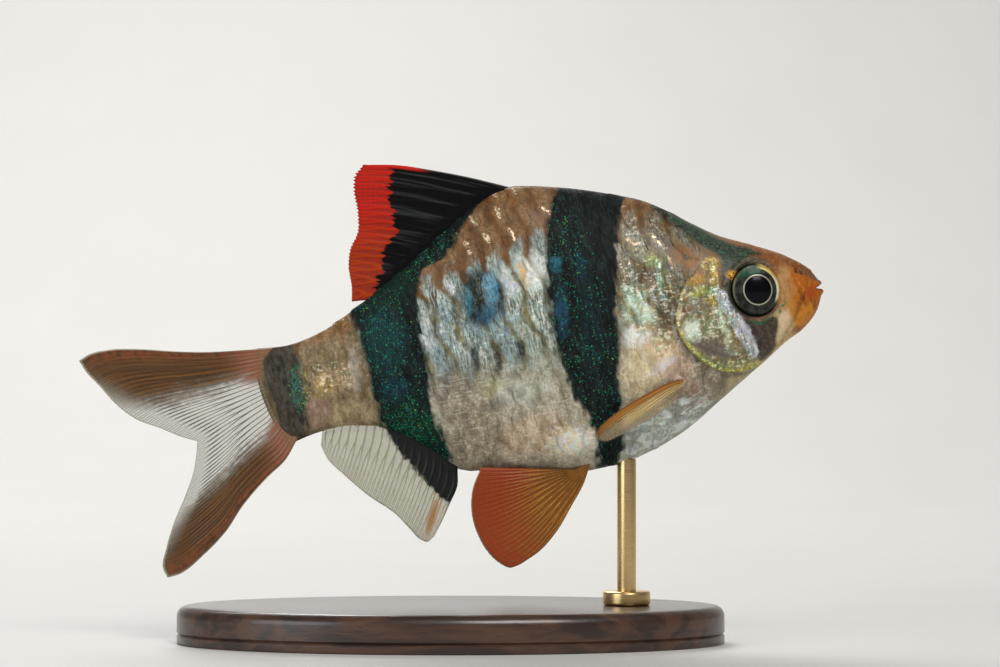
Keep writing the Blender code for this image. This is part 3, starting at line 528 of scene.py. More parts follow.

# Patches of colour as (s, h), half lengths, turn in degrees, strength and colour; the painted highlights and
# painted shade among them are marked where they stand
FLANK_PATCHES_AND_GLINTS = (
    ((26.3, -7.2), (3.0, 1.6), -8, 0.85, PEACH),
    ((30.7, -6.0), (2.4, 2.6), 0, 0.75, (0.27, 0.19, 0.095)),
    # Painted highlight: white glints above the pelvic fins
    ((23.0, -8.4), (1.9, 1.3), 0, 0.9, (1.0, 1.0, 0.94)),
    # Painted highlights: white glints high on the flank
    ((23.5, 6.3), (1.0, 1.8), 6, 0.9, (1.0, 1.0, 0.96)),
    ((25.4, 6.0), (0.8, 1.5), 6, 0.85, (1.0, 1.0, 0.96)),
    ((32.8, 3.0), (0.8, 1.6), 8, 0.85, (0.95, 1.0, 0.98)),
    ((30.6, 5.7), (0.5, 1.3), 8, 0.85, (0.90, 1.0, 0.95)),
    ((31.9, 5.6), (0.35, 1.6), 8, 0.8, (0.10, 0.065, 0.03)),
    ((30.5, 3.3), (0.3, 1.6), 8, 0.8, (0.20, 0.18, 0.06)),
    ((24.9, 3.0), (0.3, 1.8), 8, 0.7, (0.24, 0.21, 0.08)),
    ((31.6, -2.3), (1.9, 2.6), 0, 0.75, (0.26, 0.20, 0.12)),
    # Painted highlights: yellow-green and blue-white glints low on the flank
    ((28.6, -2.5), (0.9, 0.7), 0, 0.8, (0.66, 0.66, 0.30)),
    ((26.3, -3.5), (2.2, 1.0), 0, 0.45, (0.64, 0.74, 0.70)),
    ((29.6, -1.6), (1.6, 1.2), 0, 0.5, (0.34, 0.31, 0.18)),
    ((28.9, 0.3), (3.6, 0.9), 0, 0.5, (0.28, 0.31, 0.26)),
    ((13.2, -6.6), (1.6, 0.9), -35, 0.8, (0.50, 0.30, 0.22)),
    ((26.8, 1.2), (1.9, 1.8), 0, 0.4, BLUE_WHITE),
    ((30.4, 2.6), (2.2, 3.0), 10, 0.5, BLUE_WHITE),
    # Painted highlight: an orange glint high on the flank
    ((24.2, 6.2), (0.35, 1.2), 8, 0.8, (0.80, 0.46, 0.08)),
    ((24.6, 0.2), (1.8, 2.6), 0, 0.5, (0.56, 0.60, 0.42)),
    ((14.7, 6.2), (2.2, 1.4), 20, 0.6, (0.54, 0.46, 0.32)),
    ((12.7, 7.7), (1.8, 1.0), 35, 0.8, (0.26, 0.15, 0.075)),
    ((10.7, 4.5), (1.1, 0.8), 35, 0.9, (0.34, 0.16, 0.045)),
    ((14.0, 3.5), (1.0, 0.9), 0, 0.9, (0.46, 0.27, 0.17)),
    ((15.4, 1.6), (1.3, 1.7), -20, 0.95, (0.84, 1.0, 0.82)),
    ((12.9, 3.4), (0.6, 1.7), 10, 0.9, (0.66, 0.98, 0.78)),
    ((13.4, 5.0), (0.7, 0.6), 0, 0.8, (0.66, 0.72, 0.16)),
    ((11.6, 5.6), (1.2, 0.3), 42, 0.6, (0.14, 0.075, 0.05)),
    ((14.9, -2.6), (2.0, 1.9), 0, 0.95, (0.98, 0.74, 0.48)),
    ((16.4, -4.6), (1.6, 2.6), 0, 0.95, (0.88, 0.74, 0.44)),
    ((13.3, -4.3), (1.3, 1.1), -30, 0.75, (0.70, 0.45, 0.33)),
    # Painted highlights: a white glint on the shoulder and white-lavender glints on the chest
    ((16.2, -0.9), (1.1, 0.9), 0, 1.0, (1.0, 1.0, 0.95)),
    ((14.4, -3.7), (1.3, 0.4), -20, 0.8, (0.86, 0.78, 0.82)),
    ((16.5, -9.0), (4.6, 1.7), -12, 0.95, (0.64, 0.76, 0.74)),
    ((13.6, -7.6), (1.4, 0.9), -25, 0.7, (0.16, 0.19, 0.19)),
    ((18.3, -8.9), (1.2, 0.9), -10, 0.5, (0.18, 0.20, 0.19)),
    ((13.1, 10.0), (1.0, 0.8), 30, 0.9, (0.50, 0.17, 0.035)),
    ((22.3, 12.7), (1.4, 0.8), 0, 0.8, (0.44, 0.17, 0.045)),
    ((25.6, 12.9), (1.5, 0.8), -20, 0.8, (0.30, 0.10, 0.055)),
    ((41.4, 0.9), (2.3, 1.3), -8, 0.85, (0.62, 0.44, 0.27)),
    ((41.0, -2.6), (2.6, 1.2), 0, 0.9, (0.60, 0.47, 0.25)),
    ((42.2, 3.1), (1.9, 1.2), 0, 0.35, (0.40, 0.30, 0.16)),
    # Painted highlight: white glints on the tail stalk beside the rear band
    ((39.6, 1.2), (0.5, 1.7), 8, 0.45, (0.74, 0.76, 0.72)),
    ((43.2, -1.4), (1.0, 1.5), 10, 0.8, (0.56, 0.33, 0.27)),
    ((42.6, 0.3), (1.0, 0.7), 0, 0.8, (0.66, 0.50, 0.17)),
    ((40.6, 4.9), (2.4, 0.6), -12, 0.7, (0.40, 0.17, 0.06)),
)
HEAD_PATCHES_AND_SHADE = (
    ((3.05, 0.4), (0.7, 2.4), 8, 0.9, (0.54, 0.30, 0.12)),
    ((1.7, 0.8), (0.9, 0.7), 20, 0.7, (0.48, 0.12, 0.008)),
    ((2.3, -0.4), (0.55, 0.8), 20, 0.6, (0.50, 0.17, 0.012)),
    ((0.9, -0.35), (0.95, 0.55), -40, 0.85, (0.40, 0.062, 0.010)),
    ((0.55, 0.85), (0.75, 0.22), 40, 0.85, (0.17, 0.095, 0.075)),
    ((1.5, 2.0), (1.7, 0.40), 38, 0.85, (0.13, 0.060, 0.024)),
    # Painted shade: a dark spot in the nostrils' pits
    ((1.55, 1.5), (0.32, 0.20), 40, 0.95, (0.070, 0.022, 0.008)),
    ((1.75, -0.75), (0.22, 1.0), -18, 0.7, (0.16, 0.035, 0.008)),
    ((1.9, -2.1), (1.0, 0.7), -35, 0.9, (0.66, 0.25, 0.018)),
    ((2.95, -1.4), (0.55, 0.9), -20, 0.9, (0.54, 0.22, 0.018)),
    ((3.9, -2.7), (0.9, 1.1), 25, 0.95, CREAM),
    ((4.4, -3.3), (0.5, 0.35), -40, 0.8, (0.70, 0.60, 0.34)),
    ((3.7, -2.1), (0.35, 0.9), 20, 0.7, (0.84, 0.66, 0.48)),
    ((5.6, -4.85), (2.2, 0.34), -33, 0.85, (0.50, 0.30, 0.09)),
    ((8.6, -6.7), (3.6, 1.1), -36, 0.95, (0.50, 0.44, 0.25)),
    ((4.6, 3.75), (2.8, 0.45), 33, 0.85, (0.24, 0.080, 0.022)),
)
COVER_PATCHES = (
    ((10.2, 3.2), (1.2, 0.8), 30, 0.95, (0.36, 0.17, 0.05)),
    ((10.35, 2.6), (0.8, 0.45), 0, 0.9, (0.58, 0.34, 0.05)),
    ((10.3, 1.6), (0.8, 0.4), 0, 0.9, (0.66, 0.74, 0.20)),
    ((11.9, 2.0), (0.25, 0.7), 20, 0.9, (0.52, 0.52, 0.08)),
    ((11.75, 1.0), (0.18, 0.8), 0, 0.9, (0.20, 0.065, 0.028)),
    ((10.8, 0.2), (0.7, 0.8), 0, 0.85, (0.42, 0.35, 0.28)),
    ((9.15, 1.4), (0.36, 0.34), 0, 0.9, (0.26, 0.66, 0.36)),
    ((9.3, 0.7), (0.5, 0.4), 40, 0.9, (0.62, 0.46, 0.09)),
    ((8.85, -1.6), (0.38, 1.7), -8, 0.95, (0.92, 1.0, 0.80)),
    ((10.0, -1.0), (0.6, 1.2), 0, 0.7, (0.46, 0.46, 0.29)),
    ((10.2, -3.1), (2.1, 0.62), 31, 0.95, VIOLET),
    ((8.5, -5.0), (1.3, 0.5), 0, 0.7, (0.50, 0.50, 0.22)),
    ((8.5, -3.9), (0.6, 0.4), 20, 0.6, (0.46, 0.52, 0.40)),
)
BAND_PATCHES = (
    ((21.4, 6.4), (0.5, 0.7), 0, 0.6, (0.05, 0.26, 0.36)),
    ((21.7, 2.2), (0.5, 1.9), 8, 0.85, (0.018, 0.085, 0.15)),
    ((19.4, 5.9), (0.4, 1.2), 0, 0.6, BLUE_BLACK),
    ((19.6, 1.5), (0.9, 4.5), 8, 0.5, (0.010, 0.034, 0.040)),
    ((35.6, 7.4), (2.4, 1.8), -20, 0.6, GREEN_BLACK),
    ((36.6, 3.0), (1.7, 2.6), 0, 0.8, (0.012, 0.060, 0.064)),
    ((36.7, -1.0), (1.2, 1.0), 0, 0.7, BLUE_BLACK),
    ((36.2, -5.6), (2.4, 3.4), -10, 0.7, GREEN_BLACK),
    ((27.1, 5.2), (0.6, 1.6), 8, 0.95, BRIGHT_BLUE),
    ((27.3, 3.4), (1.2, 1.0), 8, 0.85, (0.05, 0.17, 0.28)),
    ((27.2, 6.1), (0.5, 0.8), 8, 0.8, (0.24, 0.52, 0.68)),
    ((28.1, 5.9), (0.35, 1.1), 8, 0.85, (0.020, 0.035, 0.020)),
    ((26.7, 3.9), (0.35, 0.7), 8, 0.8, (0.010, 0.026, 0.040)),
    ((28.8, 4.0), (0.5, 0.5), 8, 0.8, (0.010, 0.022, 0.028)),
    ((29.1, 5.0), (0.45, 1.3), 8, 0.8, (0.07, 0.27, 0.34)),
    ((44.6, 0.9), (0.8, 1.5), 8, 0.6, (0.05, 0.13, 0.12)),
)


def band(finish, front, rear, soft=0.32, ragged=0.7):
    """A dark band between two edges, each a curve of s along h, with a ragged outline."""
    drift = (finish.noise(finish.solid, 0.8, 4.0, (0.7, 1.0, 1.5)) - 0.5) * ragged * 2 + finish.step
    behind = finish.s - finish.curve(finish.h, front) + drift
    before = finish.curve(finish.h, rear) - finish.s - finish.step + drift
    return finish.ease(behind, -soft, soft) * finish.ease(before, -soft, soft)


def paint(finish, made, patches):
    """Lays patches of colour over a colour, with drifting, cloudy edges."""
    for place, reach, turn, strength, tone in patches:
        share = finish.spot(place, reach, turn, 0.45, finish.drifting) * finish.cloud
        made = finish.mix(share * strength, made, tone)
    return made


def set_up_patterns(finish, step=0.0):
    """What a body material's patterns share: clouds, foil, upright ribbons, level hairs and grains."""
    finish.fish_frame()
    s, h, solid = finish.s, finish.h, finish.solid
    finish.step = step
    finish.broad = finish.noise(solid, 3.0, 3.0)
    finish.fine = finish.noise(solid, 0.6, 3.0, (0.6, 1.0, 1.4))
    finish.grain = finish.noise(solid, 0.26, 4.0, None, 0.65)
    finish.foil = finish.ease(finish.noise(solid, 0.24, 3.0, (0.6, 1.0, 1.7), 0.7), 0.36, 0.62)
    drift = finish.signal("ShaderNodeTexNoise", "Color", None, {"Vector": solid, "Scale": 1.1, "Detail": 3.0})
    moved = finish.vector_maths("MULTIPLY_ADD", 0, drift, (DRIFT, DRIFT, 0.0), finish.plan)
    finish.drifting = finish.vector_maths("SUBTRACT", 0, moved, (DRIFT / 2, DRIFT / 2, 0.0))
    finish.cloud = finish.ease(finish.fine * 0.55 + finish.grain * 0.45, 0.34, 0.56) * 0.6 + 0.4
    wave = finish.maths("COSINE", (h - MIDDLE_ROW_H) * (math.pi / ROW_HEIGHT)) * 0.13
    column = (s - h * RIBBON_SLANT - RIBBON_GAP_AT) / RIBBON_PITCH + wave
    column = column + (finish.broad - 0.5) * 0.7 + (finish.fine - 0.5) * 0.3
    finish.phase = finish.maths("FRACT", column)
    off_middle = finish.maths("ABSOLUTE", finish.phase - 0.5)
    finish.ribbon = finish.ease(off_middle + (finish.grain - 0.5) * 0.25, 0.50, 0.22)
    finish.fibres = finish.ease(finish.noise(solid, 1.0, 2.0, (0.13, 0.3, 0.9)), 0.36, 0.64)
    finish.hairs = finish.ease(finish.noise(solid, 1.0, 2.0, (1.5, 1.0, 0.12)), 0.58, 0.72)
    finish.speck = finish.grains(solid, 0.10)


def flank_colours(finish):
    """The flanks between the bands: shining ribbons with darker gaps, a brown back, a pale belly with a
    painted sheen, and painted glints.

    It leaves three masks on the finish: brown for the back, calm where scales show least, and pure where
    white patches, painted glints among them, aren't dimmed.
    """
    s, h, broad, fine, ribbon = finish.s, finish.h, finish.broad, finish.fine, finish.ribbon
    lifted = h + (broad - 0.5) * 3.0
    low = finish.ease(lifted, 1.0, -3.5)
    ahead = finish.ease(s + (broad - 0.5) * 2, 19.5, 17.0)
    behind = finish.ease(s + (broad - 0.5) * 2, 37.0, 39.0)
    shine, gap = finish.mix(low, SILVER, PALE_BEIGE), finish.mix(low, OLIVE, (0.20, 0.16, 0.095))
    shine, gap = finish.mix(ahead, shine, SHOULDER), finish.mix(ahead, gap, (0.115, 0.070, 0.038))
    shine, gap = finish.mix(behind, shine, TAN), finish.mix(behind, gap, (0.15, 0.09, 0.045))
    golden = finish.ease(fine, 0.42, 0.62) * finish.ease(low, 0.8, 0.2)
    gap = finish.mix(golden * 0.8, gap, (0.32, 0.27, 0.095))
    # Lays on the colour patches, with the painted glints among them
    shine = paint(finish, shine, FLANK_PATCHES_AND_GLINTS)
    calm = finish.most(low, behind, finish.spot((15.3, -2.2), (2.2, 2.6), 0, 0.4))
    edge = h - finish.curve(s, BROWN_EDGE) + (fine - 0.5) * 2.2 + (0.5 - ribbon) * 1.7 + finish.step * 1.5
    brown = finish.ease(edge, -0.7, 0.7)
    shine = finish.mix(
        brown * 0.95, shine, finish.between(fine * 0.5 + broad * 0.5, 0.38, 0.60, BROWN, RUSSET))
    fawn = brown * ribbon * finish.ease(finish.grain, 0.42, 0.62)
    shine = finish.mix(fawn * 0.5, shine, (0.44, 0.30, 0.16))
    gap = finish.mix(brown, gap, finish.between(fine, 0.45, 0.65, DEEP_BROWN, RUSSET))
    belly = finish.spot((16.5, -9.0), (5.5, 2.4), -12, 0.4)
    dimmed = finish.mix(finish.most(brown, behind), (0.035, 0.045, 0.040), (0.11, 0.085, 0.055))
    dimmed = finish.mix(low, dimmed, (0.20, 0.165, 0.115))
    pure = finish.most(finish.spot((24.3, 6.2), (1.9, 1.7), 0, 0.5),
                       finish.spot((15.8, 0.2), (1.6, 2.4), 10, 0.5) * 0.8,
                       finish.spot((15.6, -3.2), (2.6, 2.8), 0, 0.5) * 0.7,
                       finish.spot((23.0, -8.4), (1.9, 1.3), 0, 0.5))
    finish.brown, finish.calm, finish.pure = brown, calm, pure
    matt = (1 - finish.foil) * (0.60 - calm * 0.16 - brown * 0.25) * (1 - pure * 0.7)
    flank = finish.mix(matt, shine, dimmed)
    depth = (0.95 - calm * 0.7) * (1 - belly)
    depth = depth * (finish.ease(finish.noise(finish.solid, 1.6, 2.0), 0.36, 0.56) * 0.55 + 0.45)
    flank = finish.mix((1 - ribbon) * depth, flank, gap)
    clouds = finish.ease(finish.noise(finish.solid, 1.2, 4.0, (0.7, 1.0, 1.3), 0.6), 0.38, 0.60)
    cloudy = (1 - clouds) * (1 - finish.most(belly, pure * 0.8)) * 0.52
    flank = finish.mix(cloudy, flank, (0.34, 0.33, 0.30), "MULTIPLY")
    pale = calm * clouds * finish.ease(finish.grain, 0.46, 0.64) * (1 - behind * 0.7)
    flank = finish.mix(pale * 0.45, flank, (0.92, 0.86, 0.72))
    sheen = finish.ease(finish.noise(finish.solid, 0.9, 3.0, (1.7, 1.0, 0.8), 0.6), 0.50, 0.64)
    return finish.mix(sheen * belly * 0.75, flank, (0.94, 0.98, 0.97))


def dark_marks(finish):
    """The mask and the colour of the three bands, the nape and the small dark spots."""
    s, h, broad, fine, ribbon = finish.s, finish.h, finish.broad, finish.fine, finish.ribbon
    nape = finish.ease(h - (s * 1.19 - 5.9) + (fine - 0.5) * 1.4, -0.4, 0.6) * finish.ease(s, 13.2, 12.0)
    ragged = finish.ease(broad * 0.4 + finish.grain * 0.6, 0.40, 0.58)
    spots = [finish.spot((27.9, 4.9), (1.9, 2.4), 0, 0.25, finish.drifting) * (ragged * 0.3 + 0.7)]
    spots += [finish.spot(place, (0.34, reach), 10, 0.6, finish.drifting) * (ragged * 0.4 + 0.5)
              for place, reach in DASHES]
    spots += [finish.spot((28.6, -4.0), (0.9, 0.6), 0, 0.7, finish.drifting) * 0.5]
    tail_band = band(finish, TAIL_BAND_FRONT, TAIL_BAND_REAR, 0.35, 0.9) * (ragged * 0.2 + 0.78)
    dark = finish.most(band(finish, SHOULDER_FRONT, SHOULDER_REAR), band(finish, SADDLE_FRONT, SADDLE_REAR),
                       tail_band, nape * 0.85, *spots)
    streak = finish.ease(finish.noise(finish.solid, 1.0, 4.0, (0.25, 0.5, 1.2), 0.65), 0.42, 0.66)
    tint = finish.mix(streak * 0.75 + ribbon * 0.2, (0.0020, 0.0028, 0.0028), (0.019, 0.033, 0.032))
    tint = paint(finish, tint, BAND_PATCHES)
    tint = finish.mix((1 - finish.foil) * 0.6, tint, BLACK)
    ashy = finish.between(
        fine * 0.6 + finish.grain * 0.4, 0.40, 0.62, (0.012, 0.012, 0.010), (0.090, 0.080, 0.068))
    return dark, finish.mix(finish.ease(s, 41.0, 43.0) * 0.8, tint, ashy)


def body_markings(finish):
    """The body's colour and the mask of its dark marks."""
    flank = flank_colours(finish)
    dark, tint = dark_marks(finish)
    return finish.mix(dark, flank, tint), dark


def add_specks(finish, made, dark, nacre_sheen):
    """Scatters green and blue specks on the bands, and paints tints, flake shade and sparkling highlights on
    silvery parts.
    """
    chance, hue, bright = finish.speck
    amount = finish.most(
        finish.spot((36.2, -5.4), (2.8, 4.0), -10, 0.6) * 0.60,
        finish.spot((44.4, 0.9), (0.9, 2.0), 8, 0.5) * 0.95,
        finish.spot((36.4, 1.0), (2.9, 7.5), 0, 0.4) * 0.30,
        finish.spot((31.5, 9.5), (3.0, 1.2), -35, 0.6) * 0.35,
        finish.spot((20.3, -1.0), (2.9, 13.0), 0, 0.3) * 0.24,
        finish.spot((9.5, 6.6), (4.5, 2.0), 40, 0.3) * 0.34)
    amount = amount * finish.ease(finish.noise(finish.solid, 0.7, 3.0, (0.5, 1.0, 1.6)), 0.30, 0.60)
    green = finish.between(hue, 0.82, 0.95, (0.010, 0.34, 0.14), (0.20, 0.42, 0.06))
    green = finish.between(hue, 0.45, 0.25, green, (0.020, 0.20, 0.24))
    gold = finish.spot((43.9, 0.6), (0.5, 1.6), 8, 0.5) * finish.ease(hue, 0.5, 0.6)
    green = finish.mix(gold, green, (0.62, 0.62, 0.16))
    shown = finish.ease(chance + amount, 1.0, 1.12) * finish.most(dark, gold) * (bright * bright * 0.9 + 0.06)
    made = finish.mix(shown, made, green)

    tone = finish.ramp(finish.noise(finish.solid, 1.3, 2.0), (
        (0.34, (1.15, 0.92, 0.70)), (0.42, (0.84, 1.10, 0.96)), (0.50, (1.0, 1.0, 1.0)),
        (0.57, (1.10, 1.0, 0.68)), (0.66, (1.0, 0.94, 1.10))))
    pearly_sheen = nacre_sheen * (1 - dark)
    made = finish.mix(finish.ease(pearly_sheen, 0.0, 0.5) * 0.8, made, tone, "MULTIPLY")
    # Painted shade: darkens the flakes on their dim sides
    flake = finish.noise(finish.solid, 0.34, 3.0, (1.5, 1.0, 0.7), 0.6)
    bright_side = finish.ease(flake * 0.6 + finish.grain * 0.25 + finish.fine * 0.15, 0.40, 0.62)
    shaded = pearly_sheen * (1 - bright_side) * (1.1 - finish.pure)
    made = finish.mix(shaded, made, (0.44, 0.42, 0.36), "MULTIPLY")
    # Painted highlights: sparkle brightens and whitens the flakes on their bright sides
    spark = finish.ease(pearly_sheen + bright_side + bright * 0.12, 1.12, 1.6)
    made = finish.mix(spark * 0.7, made, made, "ADD")
    made = finish.mix(spark * 0.32, made, (0.98, 1.0, 0.96))
    return made, finish.most(shown, spark)


def face_colours(finish, nape, cheek):
    """The snout, forehead and jaw, with the dark temple, nape and cheek."""
    s, h, ragged = finish.s, finish.h, finish.ragged
    broad, fine, grain = finish.broad, finish.fine, finish.grain
    mottle = finish.noise(finish.solid, 0.5, 4.0, (0.8, 1.0, 1.2), 0.65)
    snout = finish.ramp(mottle, ((0.34, (0.15, 0.038, 0.008)), (0.44, (0.34, 0.088, 0.008)), (0.53, ORANGE),
                                 (0.63, (0.56, 0.25, 0.035))))
    forehead = finish.ramp(mottle, ((0.36, (0.13, 0.045, 0.014)), (0.50, (0.33, 0.12, 0.030)),
                                    (0.63, (0.46, 0.23, 0.075))))
    jaw = finish.between(mottle, 0.4, 0.6, (0.40, 0.23, 0.09), CREAM)
    head = finish.between(h + (broad - 0.5) * 1.5, -1.8, 0.2, jaw, forehead)
    head = finish.between(s + (broad - 0.5) * 2.0 + (fine - 0.5), 3.6, 2.2, head, snout)
    behind = finish.ease(s - 6.6 + (broad - 0.5) * 1.2, -0.9, 0.9)
    head = finish.mix(behind, head, finish.between(fine, 0.35, 0.65, (0.20, 0.14, 0.09), (0.30, 0.15, 0.06)))
    head = paint(finish, head, HEAD_PATCHES_AND_SHADE)
    temple = finish.most(finish.spot((5.8, 3.3), (2.2, 0.62), 26, 0.5),
                         finish.spot((7.8, 1.9), (0.5, 2.3), 8, 0.4))
    head = finish.mix(
        temple * 0.95, head, finish.between(grain, 0.4, 0.6, (0.035, 0.034, 0.022), (0.160, 0.140, 0.080)))
    shade = finish.between(grain, 0.38, 0.62, (0.012, 0.022, 0.017), (0.062, 0.088, 0.060))
    head = finish.mix(finish.ease(nape + ragged, 0.35, 0.65) * 0.95, head, shade)
    head = finish.mix(
        finish.ease(cheek + ragged * 0.7, 0.34, 0.66) * 0.95, head,
        finish.between(fine * 0.5 + grain * 0.5, 0.4, 0.65, (0.020, 0.016, 0.015), (0.085, 0.062, 0.054)))
    return head


def cover_colours(finish, head, cover, rim, lavender):
    """The gill cover laid over the head: its plate, pale band, gilding, shell-white patch and rim.

    It also returns the mask of the shell-white patch.
    """
    h, fine, grain, ragged = finish.h, finish.fine, finish.grain, finish.ragged
    plate = finish.between(fine, 0.35, 0.65, (0.30, 0.27, 0.15), (0.44, 0.38, 0.24))
    plate = paint(finish, plate, COVER_PATCHES)
    plate = finish.mix((1 - finish.foil) * 0.45, plate, (0.035, 0.03, 0.022))
    head = finish.between(cover, 0.3, 0.7, head, plate)
    streaky = finish.noise(finish.drifting, 1.0, 3.0, (0.17, 0.9, 1.0), 0.6)
    pale_band = finish.ramp(streaky, ((0.35, (0.14, 0.18, 0.19)), (0.44, (0.44, 0.50, 0.56)),
                                      (0.53, (0.66, 0.68, 0.76)), (0.64, (0.90, 0.88, 0.92))))
    head = finish.mix(finish.ease(lavender + ragged * 0.7, 0.35, 0.62) * 0.95, head, pale_band)
    gilt = finish.most(finish.spot((8.8, 3.75), (0.72, 0.52), 0, 0.3),
                       finish.spot((8.75, 2.6), (0.36, 0.8), 10, 0.4))
    gilt = gilt * (1 - finish.spot((8.8, 3.75), (0.30, 0.18), 20, 0.4) * 0.7)
    gilding = finish.ramp(finish.noise(finish.solid, 0.35, 4.0, None, 0.7), (
        (0.36, (0.10, 0.06, 0.018)), (0.47, (0.40, 0.27, 0.04)), (0.57, (0.58, 0.44, 0.12)),
        (0.66, (0.92, 0.78, 0.50))))
    head = finish.mix(gilt * 0.95, head, gilding)
    shell = finish.spot((11.5, -1.4), (0.75, 1.0), -10, 0.4, finish.drifting)
    flaky = finish.ease(fine * 0.5 + grain * 0.5, 0.38, 0.54) * 0.6 + 0.4
    head = finish.mix(shell * flaky, head, (0.92, 1.0, 0.88))
    edge = finish.between(h, 1.0, -2.5, (0.86, 0.84, 0.58), (0.56, 0.54, 0.13))
    flaky_rim = finish.ease(rim, 0.3, 0.8) * finish.ease(fine * 0.5 + grain * 0.5, 0.38, 0.52)
    head = finish.mix(flaky_rim * 0.9, head, edge)
    return head, shell


def eye_surround(finish, head):
    """The dark ring round the eye's socket, with the fold, the glints and the glow beside it."""
    s, h, fine, grain, ragged = finish.s, finish.h, finish.fine, finish.grain, finish.ragged
    away = finish.length(finish.vector(s - SOCKET_S, (h - EYE_H) / EYE_TALL))

    def eye_ring(*steps):
        """A ring round the socket: where it fades in and out, in millimetres past the socket's edge."""
        far = [SOCKET_RADIUS + step for step in steps]
        return finish.ease(away, far[0], far[1]) * finish.ease(away, far[2], far[3])

    forward = finish.ease(s - SOCKET_S - (h - EYE_H) * 0.4, -0.2, -1.2)
    orbit = finish.ease(away, SOCKET_RADIUS + 0.46, SOCKET_RADIUS + 0.12) * (ragged * 0.6 + 1) * (1 - forward)
    head = finish.mix(orbit * 0.95, head, (0.024, 0.025, 0.019))
    below = finish.ease(h - EYE_H, -0.9, -1.6) * finish.ease(s - SOCKET_S, 1.2, 0.4)
    fold = eye_ring(0.02, 0.10, 0.28, 0.16)
    head = finish.mix(fold * below * (finish.ease(fine, 0.3, 0.5) * 0.4 + 0.4), head, (0.22, 0.10, 0.055))
    glints = eye_ring(0.30, 0.4, 0.75, 0.58)
    head = finish.mix(glints * below * finish.ease(grain, 0.47, 0.58) * 0.9, head, (0.03, 0.20, 0.10))
    glow = finish.spot((7.25, 2.4), (0.40, 0.20), 50, 0.9, finish.drifting) * finish.ease(grain, 0.36, 0.5)
    return finish.mix(glow, head, (0.90, 0.44, 0.045))


def skin_finish():
    """Bare skin: the head's colours, and under the scales the same markings that they carry."""
    finish = Finish("skin", {"Coat Roughness": 0.2, "Specular IOR Level": 0.16})
    set_up_patterns(finish)
    s, fine, grain, foil = finish.s, finish.fine, finish.grain, finish.foil
    painted_hollow_shade, rim, cover = finish.part(finish.attribute("shade_and_folds"))
    nape, lavender, cheek = finish.part(finish.attribute("marks"))
    made, dark = body_markings(finish)
    finish.ragged = (fine - 0.5) * 0.5 + (grain - 0.5) * 0.5
    head = face_colours(finish, nape, cheek)
    head, shell = cover_colours(finish, head, cover, rim, lavender)
    head = eye_surround(finish, head)

    on_head = finish.most(finish.ease(cover, 0.35, 0.65), finish.ease(nape, 0.35, 0.6),
                          finish.ease(s, 9.9, 9.1))
    made = finish.mix(on_head, made, head)
    # Painted shade: darkens the mouth's slit, the creases, the nostrils, the gill cover's grooves and the
    # eye's socket
    made = finish.mix(painted_hollow_shade, made, (0.045, 0.018, 0.010))
    clear = finish.most(finish.ease(cheek, 0.3, 0.6),
                        finish.spot((10.3, -3.2), (1.7, 0.5), 31, 0.4) * 0.8, shell * 0.4,
                        finish.spot((10.6, 3.3), (1.5, 1.0), 30, 0.4) * 0.8)
    nacre_sheen = finish.most(finish.ease(cover, 0.3, 0.7) * 0.5, finish.ease(lavender, 0.4, 0.6) * 0.35,
                        finish.spot((14.5, 1.5), (3.0, 4.5), 0, 0.4) * 0.6,
                        finish.spot((16.5, -9.0), (5.2, 2.2), -12, 0.4) * 0.2) * (1 - clear)
    made, gleam = add_specks(finish, made, finish.most(dark, finish.ease(nape, 0.4, 0.6)), nacre_sheen)

    finish.feed("Base Color", made)
    finish.feed("Metallic", finish.most(gleam, nacre_sheen * foil) * 0.5)
    finish.feed("Roughness", grain * 0.4 + 0.24)
    finish.feed("Coat Weight", finish.ease(s, 14.0, 12.0) * 0.1 + 0.03)
    height = grain + finish.noise(finish.solid, 0.9, 2.0) * 1.2 + finish.noise(finish.solid, 0.13, 2.0) * 0.5
    finish.feed("Normal", finish.bump(height, 0.05))
    return finish


